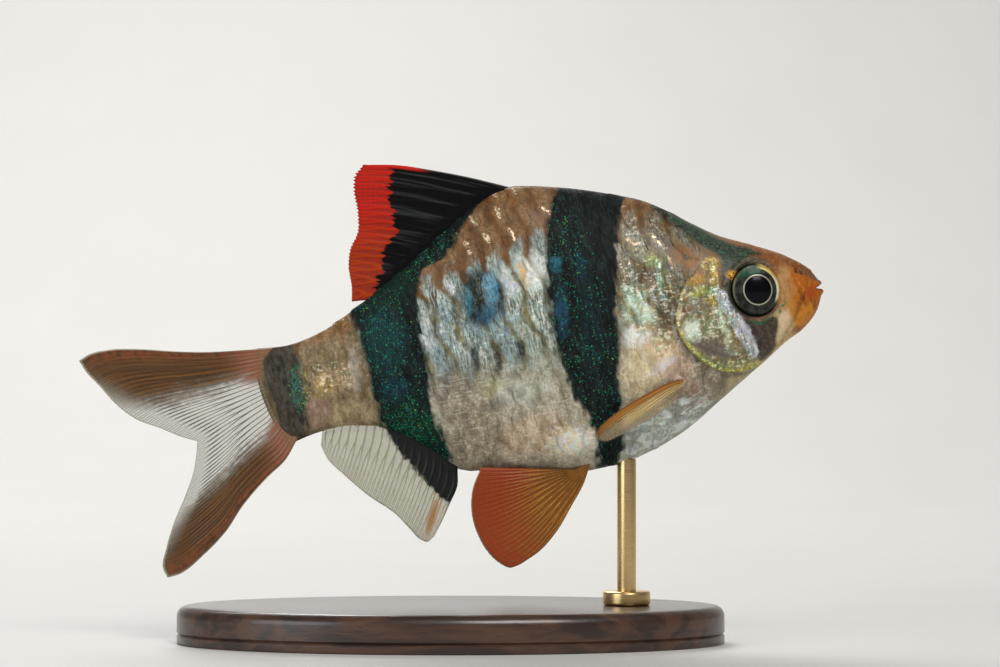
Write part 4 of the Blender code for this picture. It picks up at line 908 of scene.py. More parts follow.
def scale_finish():
    """The scales: the body's markings, with each scale's own edge, fibres and glints."""
    finish = Finish("scales", {"Coat Roughness": 0.18, "Specular IOR Level": 0.14})
    across, along, draw = finish.part(finish.attribute("scale_place"))
    set_up_patterns(finish, (draw - 0.5) * 0.35 + (along - 0.75) * 0.35)
    s, h, grain, phase, ribbon = finish.s, finish.h, finish.grain, finish.phase, finish.ribbon
    made, dark = body_markings(finish)
    brown, calm = finish.brown, finish.calm
    rays = finish.noise(finish.vector(across * 5.0, along * 1.6, draw * 40.0), 1.0, 3.0)
    light = 1 - dark
    low = finish.ease(h, 1.5, -1.5)

    silvered = finish.spot((27.5, 3.4), (6.0, 4.6), 0, 0.4)
    lit = ribbon * finish.ease(finish.fibres * 0.4 + grain * 0.9 + rays * 0.3, 0.72, 0.98) * (1 - brown)
    bright = finish.mix(
        finish.ease(s, 37.5, 39.5),
        finish.between(finish.broad, 0.4, 0.6, WHITE, BLUE_WHITE),
        (0.74, 0.56, 0.36))
    rusty = finish.spot((10.7, 4.7), (1.5, 0.9), 35, 0.5, finish.drifting)
    shining = lit * light * (silvered * 0.5 + 0.22) * (1 - calm * 0.7) * (1 - rusty)
    made = finish.mix(shining, made, bright)
    made = finish.mix(rusty * light * 0.6, made, (0.34, 0.145, 0.042))
    outline = finish.ease(along + (grain - 0.5) * 0.1, 0.93, 1.0)
    made = finish.mix(
        outline * light * (0.30 - finish.most(brown, calm) * 0.16), made,
        finish.mix(brown, (0.10, 0.085, 0.05), DEEP_BROWN))
    striped = low * finish.spot((27.5, -3.5), (7.0, 7.5), 0, 0.3)
    made = finish.mix(finish.hairs * striped * light * 0.34, made, (0.88, 0.88, 0.76))

    glint = finish.ease(finish.maths("ABSOLUTE", phase - 0.66 - across * 0.14), 0.11, 0.04)
    glint = glint * finish.ease(finish.maths("ABSOLUTE", across), 0.34, 0.2) * finish.ease(draw, 0.25, 0.4)
    glint = glint * finish.ease(grain, 0.44, 0.56) * light
    upper = finish.most(brown, finish.spot((14.0, 7.2), (3.6, 3.0), 0, 0.3),
                        finish.spot((23.0, -8.6), (3.0, 1.2), 0, 0.3))
    glitter = finish.mix(finish.ease(s, 20.0, 18.0) * finish.ease(finish.broad, 0.4, 0.6), (1.0, 0.80, 0.56),
                         (1.0, 0.62, 0.38))
    made = finish.mix(glint * upper, made, glitter)
    nacre_sheen = finish.most(finish.spot((14.5, 2.4), (3.2, 3.6), 0, 0.4) * 0.55, silvered * 0.3,
                        finish.spot((13.5, 7.2), (2.8, 2.0), 30, 0.4) * 0.34,
                        finish.spot((42.0, 1.0), (2.2, 1.5), 0, 0.5) * 0.5,
                        finish.spot((23.2, -8.2), (2.2, 1.6), 0, 0.5) * 0.55,
                        finish.spot((16.5, -9.0), (5.2, 2.2), -12, 0.4) * 0.25)
    made, gleam = add_specks(finish, made, dark, nacre_sheen * (ribbon * 0.5 + 0.5))

    finish.feed("Base Color", made)
    finish.feed("Metallic", finish.most(lit * silvered, glint * upper, gleam) * light * 0.5)
    finish.feed("Roughness", grain * 0.3 + 0.30 + dark * 0.2)
    finish.feed("Coat Weight", light * 0.10 + 0.01)
    height = (rays * 0.4 + finish.fibres * 0.15 + grain * 0.8) * (1 - calm * 0.5)
    height = height + finish.noise(finish.solid, 0.9, 2.0) * 1.2 + ribbon * light * 1.2
    finish.feed("Normal", finish.bump(height, 0.032))
    return finish


def inside(s, h, outline):
    """How far points are inside an outline: 0.5 on it, and 1 at half a millimetre inside."""
    closed = (*outline, outline[0])
    line = smooth_line(closed, 90)
    away = from_line(s, h, line)[0]
    x, y = line[:-1, 0], line[:-1, 1]
    nx, ny = line[1:, 0], line[1:, 1]
    crossed = (y > h[..., None]) != (ny > h[..., None])
    at = x + (h[..., None] - y) * (nx - x) / np.where(ny == y, 1e-9, ny - y)
    odd = (crossed & (s[..., None] < at)).sum(axis=-1) % 2 == 1
    return np.clip(0.5 + np.abs(away) * np.where(odd, 1, -1), 0, 1)


def relief(s, h):
    """How far the skin stands out from the body's plain form, with the masks of its painted shade, gill rim
    and cover, and markings.
    """
    lift = np.zeros_like(s)
    on_head = (s < HEAD_END_S) * 1.0

    # The slit of the mouth, the lips, and the creases of lip and jaw
    mouth, share = from_line(s, h, MOUTH_LINE)
    slit = mound(mouth, 0.0, 0.14) * (0.05 + 0.95 * (1 - ease(share, 0.28, 0.44)))
    slit = slit * (1 - ease(share, 0.6, 0.9))
    lips = (mound(mouth, 0.36, 0.22) + 1.1 * mound(mouth, -0.38, 0.24)) * (1 - ease(share, 0.25, 0.5))
    crease, crease_share = from_line(s, h, LIP_CREASE)
    fold = mound(crease, 0.0, 0.12) * ease(crease_share, 0.0, 0.15) * (1 - ease(crease_share, 0.8, 1.0))
    jaw, jaw_share = from_line(s, h, JAW_CREASE)
    jaw_fold = mound(jaw, 0.0, 0.14) * (1 - ease(jaw_share, 0.7, 1.0))
    lift += 0.10 * lips - 0.52 * slit - 0.07 * fold - 0.06 * jaw_fold + 0.05 * mound(crease, 0.4, 0.3)

    # The nostrils, each a pit with a low rim
    pit = np.zeros_like(s)
    for place_s, place_h, radius in NOSTRILS:
        away = np.hypot(s - place_s, h - place_h) / radius
        pit = np.maximum(pit, mound(away, 0.0, 0.75))
        lift += 0.03 * mound(away, 1.25, 0.4)
    lift -= 0.14 * pit

    # The eye's socket, with its rim and a fold below it
    eye = np.hypot(s - SOCKET_S, (h - EYE_H) / EYE_TALL)
    socket = ease(eye, SOCKET_RADIUS, SOCKET_RADIUS - 0.15)
    low = ease(EYE_H - h, 0.2, 2.0)
    lift += 0.12 * mound(eye, SOCKET_RADIUS + 0.26, 0.2) + 0.07 * low * mound(eye, SOCKET_RADIUS + 0.62, 0.16)
    lift -= SOCKET_DEPTH * socket

    # The gill cover's rear edge, front ridge and lower groove
    rear, rear_share = from_line(s, h, GILL_REAR)
    rear = -rear
    front = from_line(s, h, GILL_FRONT)[0]
    top = ease(rear_share, 0.02, 0.22)
    cover = np.clip(0.5 + rear * 1.2, 0, 1) * on_head * ease(front, -0.3, 0.1) * (h > -5.8) * (h < 4.4)
    step = ease(rear, -0.05, 0.15) * np.exp(-np.maximum(rear, 0) / 2.4) * ease(rear_share, 1.0, 0.85)
    lift += 0.30 * step * top * on_head
    lift -= 0.12 * mound(rear, -0.24, 0.18) * (rear < 0) * on_head * top
    ridge = mound(front, 0.05, 0.22) * ease(h, -4.9, -4.2) * ease(h, 3.6, 2.6) * on_head
    lift += 0.06 * ridge - 0.06 * mound(front, -0.5, 0.2) * ease(h, -4.6, -4.0) * ease(h, 2.0, 1.0) * on_head
    plate_line, plate_share = from_line(s, h, LOWER_PLATE)
    groove = mound(plate_line, 0.0, 0.11) * ease(plate_share, 0.0, 0.1) * (1 - ease(plate_share, 0.85, 1.0))
    lift -= 0.08 * groove
    lift += 0.03 * np.sin(s * 2.3 + h * 1.7) * ease(s, 8.6, 9.4) * ease(s, 12.5, 11.5)

    # The swelling round the pectoral fin's base
    base = np.hypot(s - FIN_PIT[0], (h - FIN_PIT[1]) / 1.3)
    lift += 0.22 * mound(base, 0.0, 0.9) - 0.10 * mound(base, 1.5, 0.3) * (s < 14.5)

    # The masks that the skin's colours follow: painted shade in the mouth's slit, the creases, the nostrils,
    # the gill cover's grooves and the eye's socket, then the gill rim, the gill cover and the markings
    rim = (mound(rear, 0.20, 0.17) + 0.35 * mound(rear, 0.5, 0.4)) * on_head * ease(rear_share, 0.12, 0.3)
    painted_hollow_shade = np.clip(slit * 0.8 + 0.3 * fold + 0.25 * jaw_fold + 0.9 * pit + 0.3 * groove
                     + 0.6 * mound(rear, -0.16, 0.14) * (rear < 0) * on_head * top
                     + socket * ease(s - SOCKET_S, -1.6, -0.6), 0, 1)
    shade_and_folds = np.stack([painted_hollow_shade, np.clip(rim, 0, 1), cover], axis=-1)
    marks = np.stack([inside(s, h, outline) for outline in (NAPE, LAVENDER, CHEEK)], axis=-1)
    return lift, shade_and_folds, marks


def normals_of(points):
    """The outward directions of a sheet of points, rows along the body by columns round it."""
    along = np.gradient(points, axis=0)
    around = np.gradient(points, axis=1)
    around[:, 0] = around[:, -1] = (points[:, 1] - points[:, -2]) / 2
    out = np.cross(around, along)
    length = np.linalg.norm(out, axis=-1, keepdims=True)
    return np.where(length > 1e-9, out / np.maximum(length, 1e-9), (-1.0, 0.0, 0.0))


def make_skin(finish):
    """One skin over head, jaw, gill covers, trunk and tail stalk, with the head's features in relief."""
    front, middle, stalk, rear = -0.02, 13.4, 42.0, 48.0
    tip_rows, head_rows, trunk_rows, columns = 8, 150, 84, 289
    tip = np.linspace(0, 1, tip_rows)[:-1]
    head = front + (middle - front) * np.linspace(0, 1, head_rows) ** 1.15
    trunk = np.linspace(middle, rear, trunk_rows)[1:]
    s = np.concatenate([np.full(len(tip), front), head, trunk])[:, None]
    angle = math.pi / 2 + np.linspace(0, 2 * math.pi, columns)[None, :]
    points = body_point(s, angle, -depth_at(s))
    end = tail_base_at(points[..., 2]) + TAIL_OVERLAP
    share = np.clip((s - stalk) / (rear - stalk), 0, 1)
    s = np.where(s > stalk, stalk + share * (end - stalk), s)
    points = body_point(s, angle, -depth_at(s))
    centre = points[len(tip)].mean(axis=0)
    for k, t in enumerate(tip):
        shrink = math.sin(t * math.pi / 2)
        points[k] = centre + (points[len(tip)] - centre) * shrink
        points[k, :, 0] = front - 0.06 * math.cos(t * math.pi / 2)
    points[-1, :, 1] = 0.0
    lift, shade_and_folds, marks = relief(points[..., 0], points[..., 2])
    throat = ease(points[..., 2] - belly_at(points[..., 0]), 1.6, 0.3) * mound(points[..., 0], 6.4, 2.4)
    crest = np.where(points[..., 0] < 1.0, 1.0, 0.25)
    lift = lift * np.clip(np.abs(points[..., 1]) / 0.3, crest, 1) * (points[..., 0] < 46) + 0.30 * throat
    points += normals_of(points) * lift[..., None]
    points[:, -1] = points[:, 0]
    skin = shaped_sheet("skin", in_pose(points), {"shade_and_folds": shade_and_folds, "marks": marks})
    hand_in(skin, finish, "skin", "head", "lower_jaw", "gill_cover_right", "gill_cover_left",
            "trunk", "tail_stalk")


class Girth:
    """Finds the angle round the body at a distance from its widest level, measured on the skin."""

    STATIONS, ANGLES, SHARES = 331, 181, 201

    def __init__(self):
        self.s = np.linspace(7.0, 48.3, self.STATIONS)
        angle = np.linspace(-math.pi / 2, math.pi / 2, self.ANGLES)
        widest = self.ANGLES // 2
        ring = body_point(self.s[:, None], angle[None, :], -depth_at(self.s[:, None]))
        step = np.linalg.norm(np.diff(ring[..., 1:], axis=1), axis=-1)
        reach = np.concatenate([np.zeros((len(self.s), 1)), np.cumsum(step, axis=1)], axis=1)
        reach -= reach[:, widest:widest + 1]
        self.up, self.down = reach[:, -1], -reach[:, 0]
        shares = np.linspace(-1, 1, self.SHARES)
        self.angles = np.array([
            np.interp(shares * np.where(shares > 0, up, down), row, angle)
            for row, up, down in zip(reach, self.up, self.down)
        ])

    def reach(self, s):
        """The distances from the widest level up to the back and down to the belly."""
        return np.interp(s, self.s, self.up), np.interp(s, self.s, self.down)

    def angle(self, s, q):
        """The angle at a station and a distance q, past a ridge on to the other side."""
        up, down = self.reach(s)
        share = np.where(q > 0, q / up, q / down)
        over = np.where(share > 1, 2 - share, np.where(share < -1, -2 - share, share))
        row = np.clip((s - self.s[0]) / (self.s[1] - self.s[0]), 0, len(self.s) - 1.001)
        column = np.clip((over + 1) / 2 * (self.SHARES - 1), 0, self.SHARES - 1.001)
        i, j = row.astype(int), column.astype(int)
        a, b = row - i, column - j
        found = ((1 - a) * ((1 - b) * self.angles[i, j] + b * self.angles[i, j + 1])
                 + a * ((1 - b) * self.angles[i + 1, j] + b * self.angles[i + 1, j + 1]))
        return np.where(share > 1, math.pi - found, np.where(share < -1, -math.pi - found, found))


def one_scale():
    """A flat scale: its root on x = 0, its round free edge at x = 1 and its sides at y = -1 and 1."""
    deselect()
    bpy.ops.mesh.primitive_grid_add(x_subdivisions=4, y_subdivisions=8, size=2)
    scale = bpy.context.object
    for vert in scale.data.vertices:
        along, across = (vert.co.x + 1) / 2, vert.co.y
        turn = across * SCALE_ROUND
        vert.co.x = along * math.cos(turn)
        vert.co.y = (1 - along) * SCALE_ROOT_WIDTH * across + along * math.sin(turn) / math.sin(SCALE_ROUND)
    solid = scale.modifiers.new("thickness", "SOLIDIFY")
    solid.thickness = 1.0
    solid.offset = -1.0
    bpy.ops.object.modifier_apply(modifier="thickness")
    mesh = scale.data
    corners = np.array([vert.co for vert in mesh.vertices])
    faces = [tuple(face.vertices) for face in mesh.polygons]
    bpy.data.objects.remove(scale)
    return corners, faces


def scale_roots(girth, rng):
    """The roots of one side's scales, as (s, q, row, three random draws).

    The rows are a pitch apart, with every other row half a scale back.
    """
    pitch_at, row_at = value_along(COLUMN_PITCH), value_along(ROW_PITCH)
    lattice = [FIRST_SCALE_S]
    while lattice[-1] < LAST_SCALE_S:
        lattice.append(lattice[-1] + 0.5 * float(pitch_at(lattice[-1])))
    roots = []
    for row in range(-8, 9):
        for s in lattice[row % 2::2]:
            q = row * float(row_at(s))
            s = s + RIBBON_SLANT * q
            up, down = girth.reach(s)
            if not -down + RIDGE_GAP < q < up - RIDGE_GAP:
                continue
            point = body_point(np.array(s), girth.angle(np.array(s), np.array(q)))
            behind = from_line(np.array(s), point[2], GILL_LINE)[0]
            at_fin = math.hypot(s - FIN_PIT[0], point[2] - FIN_PIT[1]) < FIN_GAP
            if behind < -UNDER_GILL or s > tail_base_at(point[2]) - TAIL_GAP or at_fin:
                continue
            roots.append((s, q, row, *rng.uniform(-1, 1, 3)))
    return np.array(roots)


def make_coat(side, name, finish, seed):
    """One side's scales as a joined mesh, bent over the skin, each lapping over the ones behind it."""
    girth = Girth()
    corners, faces = one_scale()
    roots = scale_roots(girth, np.random.default_rng(seed))
    pitch = value_along(COLUMN_PITCH)(roots[:, 0])[:, None]
    height = value_along(ROW_PITCH)(roots[:, 0])[:, None]
    row_at = value_along(ROW_PITCH)
    lean = (roots[:, 2] * (row_at(roots[:, 0] + 1) - row_at(roots[:, 0])))[:, None]
    along, across, layer = corners[:, 0], corners[:, 1], corners[:, 2]
    vary = 1 + 0.05 * roots[:, 3:4]
    s = roots[:, 0:1] + along * pitch * SCALE_LENGTH * vary
    q = roots[:, 1:2] + across * height * SCALE_HEIGHT + along * pitch * SCALE_LENGTH * lean
    q = q + 0.06 * roots[:, 4:5] * along
    up, down = girth.reach(s)
    over, under = np.maximum(q - (up - RIDGE_WRAP), 0), np.maximum(-q - (down - RIDGE_WRAP), 0)
    q = q - over + (1 - np.exp(-over)) + under - (1 - np.exp(-under))
    s = np.minimum(s, COAT_END_S)
    angle = girth.angle(s, q)
    base = body_point(s, angle, -depth_at(s))
    step = 0.02
    ahead = body_point(s + step, angle, -depth_at(s + step))
    beside = body_point(s, angle + step, -depth_at(s))
    out = np.cross(beside - base, ahead - base)
    out /= np.maximum(np.linalg.norm(out, axis=-1, keepdims=True), 1e-9)
    quiet = mound(s, 14.5, 3.5) * ease(-q, -1.5, 1.0)
    tip_lift = SCALE_TIP_LIFT * (1 - 0.5 * quiet)
    lift = SCALE_ROOT_LIFT + (tip_lift - SCALE_ROOT_LIFT) * along * (1 - 0.25 * across**2)
    lift = lift * (1 + 0.1 * roots[:, 5:6]) * pitch / USUAL_PITCH + layer * SCALE_THICK
    points = base + out * lift[..., None]
    points[..., 1] *= side

    count = len(corners)
    mesh = bpy.data.meshes.new(name)
    all_faces = [tuple(k * count + v for v in face) for k in range(len(roots)) for face in faces]
    mesh.from_pydata(in_pose(points).reshape(-1, 3), [], all_faces)
    mark = mesh.attributes.new("scale_place", "FLOAT_VECTOR", "POINT")
    draw = np.broadcast_to((roots[:, 3:4] + 1) / 2, (len(roots), count))
    spread = np.broadcast_to(across, draw.shape)
    length = np.broadcast_to(np.hypot(along, across * 0.985), draw.shape)
    mark.data.foreach_set("vector", np.stack([spread, length, draw], -1).astype(np.float32).ravel())

    patch = 0.03
    centre_u = 0.04 + 0.92 * (roots[:, 0:1] - 8.0) / 40.0
    centre_v = 0.5 + roots[:, 1:2] / 34.0
    flat_u = centre_u + (along - 0.5) * patch
    flat_v = centre_v + across * patch / 2 + np.where(layer < -0.5, 0.018, -0.018)
    flat = np.stack([flat_u, flat_v], axis=-1).reshape(-1, 2)
    unwrap = mesh.uv_layers.new(name="OFBake")
    corner_of = np.empty(len(mesh.loops), np.int32)
    mesh.loops.foreach_get("vertex_index", corner_of)
    unwrap.data.foreach_set("uv", flat[corner_of].astype(np.float32).ravel())
    coat = bpy.data.objects.new(name, mesh)
    bpy.context.scene.collection.objects.link(coat)
    deselect()
    coat.select_set(True)
    bpy.context.view_layer.objects.active = coat
    close_up(coat, 0.0001)
    bpy.ops.object.shade_smooth_by_angle(angle=math.radians(50))
    hand_in(coat, finish, "skin")


def fin_plan(lobes, u, v):
    """Points (s, h) of a fin's sheet, for u from its first ray to its last and v from base to margin."""
    count = len(lobes)
    lobe_of = np.clip((u * count).astype(int), 0, count - 1)
    found = np.zeros((*u.shape, 2))
    share = np.linspace(0, 1, 200)

    def on_line(line, place):
        return np.stack([np.interp(place, share, line[:, c]) for c in (0, 1)], -1)

    for k, lines in enumerate(lobes):
        fine = {key: smooth_line(line, len(share)) for key, line in lines.items()}
        t, w = np.clip(u * count - k, 0, 1), np.clip(v, 0, 1)
        base, margin = on_line(fine["base"], t), on_line(fine["margin"], t)
        first, last = on_line(fine["first"], w), on_line(fine["last"], w)
        t, w = t[..., None], w[..., None]
        ends = ((1 - w) * ((1 - t) * fine["base"][0] + t * fine["base"][-1])
                + w * ((1 - t) * fine["margin"][0] + t * fine["margin"][-1]))
        sheet = (1 - w) * base + w * margin + (1 - t) * first + t * last - ends
        found = np.where((lobe_of == k)[..., None], sheet, found)
    return found


def ray_ridges(u, v, rays):
    """How far a point is up a ray's ridge, from 0 to 1. A ray forks twice on its way to the margin."""
    place = (u * rays) % 1.0 - 0.5
    first_fork = 0.25 * ease(v, 0.22, 0.62)
    second_fork = 0.115 * ease(v, 0.58, 0.95)
    width = 0.16 - 0.085 * ease(v, 0.2, 0.8)
    nearest = np.abs(np.abs(np.abs(place) - first_fork) - second_fork)
    return np.exp(-((nearest / width) ** 2))


def make_fin(name, lobes, rays, rows, lie, finish, slot, nodes, steps=16, web=0.15, ray=0.4, notch=0.02):
    """A fin as one thin sheet, with its forked rays as ridges in both faces and a notched free edge."""
    fold = np.linspace(-1, 1, 2 * rays * steps + 1)
    rows_v = np.concatenate([np.linspace(-ROOT_SHARE, 0, 4)[:-1], np.linspace(0, 1, rows)])
    u, v = np.meshgrid(1 - np.abs(fold), rows_v)
    face = np.meshgrid(np.where(fold < 0, RIGHT, LEFT), rows_v)[0]
    ridge = ray_ridges(u, np.clip(v, 0, 1), rays)
    leading = mound(u * rays, 0.0, 0.3)
    ridge = np.maximum(ridge, leading)
    run = v * (1 - notch * (1 - ridge) * ease(v, 0.8, 1.0))
    plan = fin_plan(lobes, u, run)
    base, near = fin_plan(lobes, u, np.zeros_like(u)), fin_plan(lobes, u, np.full_like(u, 0.02))
    inwards = (base - near) / np.maximum(np.linalg.norm(base - near, axis=-1, keepdims=True), 1e-9)
    plan = plan + inwards * (ROOT_SUNK * np.clip(-v / ROOT_SHARE, 0, 1))[..., None]
    s, h = plan[..., 0], plan[..., 1]
    # The sheet runs out to nothing at its first and last ray, its free edge and its sunk root
    border = np.minimum(np.minimum(u, 1 - u) * rays * 4, (1 - v) * 25)
    border = np.minimum(border, (v + ROOT_SHARE) * 60)
    rise = (ray - web) * ridge * (1 - 0.6 * np.clip(v, 0, 1)) * ease(v, 0.0, 0.1)
    thick = web + rise + ROOT_THICKER * ease(v, 0.12, 0.0)
    thick = thick * np.sqrt(np.clip(border, 0, 1))
    y = lie(u, np.clip(v, 0, 1), s, h) + face * thick / 2
    places = np.stack([u * rays, v, ridge], axis=-1)
    fin = shaped_sheet(name, in_pose(np.stack([s, y, h], axis=-1)), {"ray_place": places})
    hand_in(fin, finish, slot, *nodes)


def turned(lines, pivot, angle):
    """A fin's lines turned about a point of the side view."""
    c, s = math.cos(angle), math.sin(angle)
    spin = np.array([[c, s], [-s, c]])
    return {key: (np.array(line) - pivot) @ spin + pivot for key, line in lines.items()}


def fin_finish(name, web, ray, web_alpha, ray_alpha, paint, gloss=0.2, jointed=1.0):
    """A fin: clear or coloured web, with finely jointed rays."""
    finish = Finish(name, {"Coat Weight": gloss, "Coat Roughness": 0.2, "Specular IOR Level": gloss})
    finish.fish_frame()
    finish.across, finish.along, ridge = finish.part(finish.attribute("ray_place"))
    mottle = finish.noise(finish.solid, 0.5, 3.0)
    joints = (finish.maths("SINE", finish.along * 130.0) * 0.5 + 0.5) * jointed
    on_ray = finish.ease(ridge, 0.3, 0.95)
    made = finish.mix(on_ray, finish.mix(mottle * 0.4, web, [k * 0.6 for k in web]), ray)
    alpha = finish.ease(ridge, 0.5, 0.98) * (ray_alpha - web_alpha) + web_alpha
    made, alpha = paint(finish, made, alpha, ridge, mottle)
    made = finish.mix(joints * ridge * 0.12, made, (0.0, 0.0, 0.0))
    finish.feed("Base Color", made)
    finish.feed("Alpha", alpha)
    finish.feed("Roughness", mottle * 0.2 + 0.4)
    strands = finish.noise(finish.vector(finish.across * 9.0, finish.along * 1.5), 1.0, 2.0)
    finish.feed("Normal", finish.bump(joints * ridge * 0.5 + strands, 0.02))
    return finish


def paint_dorsal(finish, made, alpha, ridge, mottle):
    """Black with grey strands, and a red margin that starts in a jagged line."""
    edge = finish.curve(finish.h, ((6.9, 36.6), (9.1, 35.8), (10.6, 34.9), (12.9, 33.7), (13.8, 33.9),
                                   (16.8, 33.1)))
    teeth = finish.noise(finish.vector(finish.across * 2.4, finish.along * 0.6), 1.0, 2.0)
    past = finish.s - edge + (teeth - 0.5) * 2.6 + (mottle - 0.5) * 0.5
    top = finish.ease(finish.across, 0.42, 0.2) * finish.ease(finish.along, 0.5, 0.66)
    red = finish.most(finish.ease(past, -0.08, 0.14), top)
    scarlet = finish.between(finish.h, 14.5, 9.5, (0.66, 0.022, 0.012), (0.46, 0.055, 0.008))
    scarlet = finish.mix((1 - ridge) * 0.8, scarlet, (0.30, 0.010, 0.004))
    strand = finish.ease(teeth, 0.50, 0.62) * finish.ease(finish.along, 0.05, 0.3)
    grey = finish.mix(strand * 0.6, (0.004, 0.004, 0.005), (0.040, 0.043, 0.046))
    made = finish.mix(red, grey, scarlet)
    leading = finish.ease(finish.across, 0.12, 0.04) * (1 - red)
    made = finish.mix(leading * 0.7, made, (0.16, 0.16, 0.14))
    return made, 1 - red * 0.12 * (1 - ridge)


def paint_tail(finish, made, alpha, ridge, mottle):
    """Red-brown lobes round a clear middle, pink where the rays leave the body, with a pale margin."""
    middle = finish.maths("ABSOLUTE", finish.across / TAIL_RAYS - 0.5)
    strands = finish.noise(finish.vector(finish.across * 3.0, finish.along * 1.2), 1.0, 3.0)
    outwards = middle + finish.along * 0.04 + (mottle - 0.5) * 0.1 + (strands - 0.5) * 0.16
    lobe = finish.ease(outwards, 0.12, 0.36)
    lobe = lobe * finish.ease(finish.along - middle * 0.95, 0.9, 0.5)
    brown = finish.between(strands, 0.38, 0.62, (0.080, 0.031, 0.003), (0.175, 0.068, 0.007))
    brown = finish.mix(finish.ease(ridge, 0.45, 0.95) * 0.8, brown, (0.045, 0.014, 0.003))
    rust = finish.ease(middle, 0.43, 0.48) * finish.ease(mottle, 0.35, 0.6)
    brown = finish.mix(rust * 0.7, brown, (0.24, 0.060, 0.012))
    made = finish.mix(lobe, made, brown)
    pink = finish.ease(finish.along + (strands - 0.5) * 0.3, 0.26, 0.03) * finish.ease(middle, 0.1, 0.25)
    rose = finish.between(strands, 0.4, 0.6, (0.34, 0.085, 0.035), (0.42, 0.22, 0.14))
    made = finish.mix(pink * (0.9 - ridge * 0.35), made, rose)
    root = finish.ease(finish.along, 0.07, 0.01)
    made = finish.mix(root * 0.5, made, (0.20, 0.12, 0.06))
    edge = finish.most(finish.ease(finish.along, 0.985, 0.994), finish.ease(middle, 0.492, 0.498))
    made = finish.mix(edge, made, (0.40, 0.38, 0.26))
    return made, finish.most(alpha, lobe * 0.9, pink * 0.9, root, edge * 0.6)


def paint_anal(finish, made, alpha, ridge, mottle):
    """Clear with pale rays, black at its front and orange towards its front tip."""
    tip = finish.spot((35.9, -12.2), (0.40, 2.0), 28, 0.8)
    made = finish.mix(tip * 0.9, made, (0.46, 0.19, 0.025))
    black_edge = finish.curve(finish.h, ((-11.7, 34.2), (-8.15, 36.5), (-4.6, 38.2)))
    black = finish.ease(black_edge - finish.s + (mottle - 0.5) * 1.2, -0.3, 0.3)
    black = black * finish.ease(finish.h, -12.4, -11.4)
    made = finish.mix(black, made, BLACK)
    margin = finish.ease(finish.along, 0.97, 0.99)
    return made, finish.most(alpha, black, tip * 0.75, margin * 0.7)


def paint_pelvic(finish, made, alpha, ridge, mottle):
    """Amber, redder to the rear and the tip, with gold rays and a pale leading edge."""
    red = finish.ease(finish.along + finish.across * 0.035 + (mottle - 0.5) * 0.5, 0.55, 1.05)
    made = finish.mix(red * 0.95, made, finish.mix(ridge, (0.36, 0.042, 0.005), (0.30, 0.050, 0.007)))
    shine = finish.ease(ridge, 0.7, 0.98) * finish.ease(finish.along, 0.9, 0.5)
    shine = shine * finish.ease(mottle, 0.42, 0.58)
    made = finish.mix(shine * 0.8, made, (0.60, 0.32, 0.045))
    dusk = finish.ease(finish.along, 0.45, 0.1) * finish.ease(mottle, 0.6, 0.4)
    made = finish.mix(dusk * 0.5, made, (0.16, 0.075, 0.012))
    leading = finish.most(finish.ease(finish.across, 0.16, 0.05), finish.ease(finish.along, 0.985, 0.995))
    made = finish.mix(leading * 0.6, made, (0.48, 0.34, 0.18))
    return made, alpha


def paint_pectoral(finish, made, alpha, ridge, mottle):
    """Amber in its leading rays, a pale gold painted highlight behind them, and clear towards its rear edge
    and its tip.
    """
    lead = finish.ease(finish.across + (mottle - 0.5), 3.0, 1.4)
    # Painted highlight: pale gold behind the leading rays
    gold_highlight = finish.ease(finish.across + (mottle - 0.5) * 2, 7.0, 4.0) * finish.ease(finish.along, 0.95, 0.6)
    even = finish.ease(finish.along, 0.40, 0.75) * (1 - lead)
    made = finish.mix(even * 0.75, made, (0.44, 0.36, 0.23))
    alpha = alpha + (0.42 - alpha) * even
    made = finish.mix(gold_highlight, made, finish.mix(ridge, (0.62, 0.44, 0.18), (0.84, 0.64, 0.30)))
    made = finish.mix(lead, made, finish.mix(ridge, (0.50, 0.22, 0.030), (0.24, 0.085, 0.012)))
    made = finish.mix(finish.ease(finish.across, 0.6, 0.2) * 0.7, made, (0.16, 0.055, 0.010))
    return made, finish.most(alpha, lead * finish.ease(finish.along, 1.1, 0.8), gold_highlight * (ridge * 0.3 + 0.5))


def make_eye(name, side, finish):
    """An eyeball with a domed pupil, a raised ring round it, a dished iris and a rounded rim."""
    turn = np.linspace(0, 2 * math.pi, 129)[None, :]
    polar = (np.linspace(0, 1, 90) ** 1.1 * math.pi)[:, None]
    radius = EYE_RADIUS * np.sin(polar)
    out = EYE_DEPTH * np.cos(polar)
    facing = polar < math.pi / 2
    dome = 0.10 * np.sqrt(np.clip(1 - (radius / PUPIL_RADIUS) ** 2, 0, 1))
    ring = 0.035 * mound(radius, PUPIL_RADIUS + 0.06, 0.06)
    dish = -0.07 * ease(radius, 1.2, 1.35) * (1 - ease(radius, 1.6, 1.95))
    fall = -0.6 * ease(radius, 1.8, 2.15)
    out = out + np.where(facing, dome + ring + dish + fall, -0.6)
    across = radius * np.cos(turn)
    h = EYE_H + radius * np.sin(turn) * EYE_TALL
    c, n = math.cos(EYE_TURN), math.sin(EYE_TURN)
    s = EYE_S + across * c - out * n
    y = side * (side_y(EYE_S, EYE_H) - EYE_SUNK + out * c + across * n)
    eye = shaped_sheet(f"{name}_ball", in_pose(np.stack([s, y + 0 * s, h + 0 * s], axis=-1)))
    hand_in(eye, finish, "eye", name)


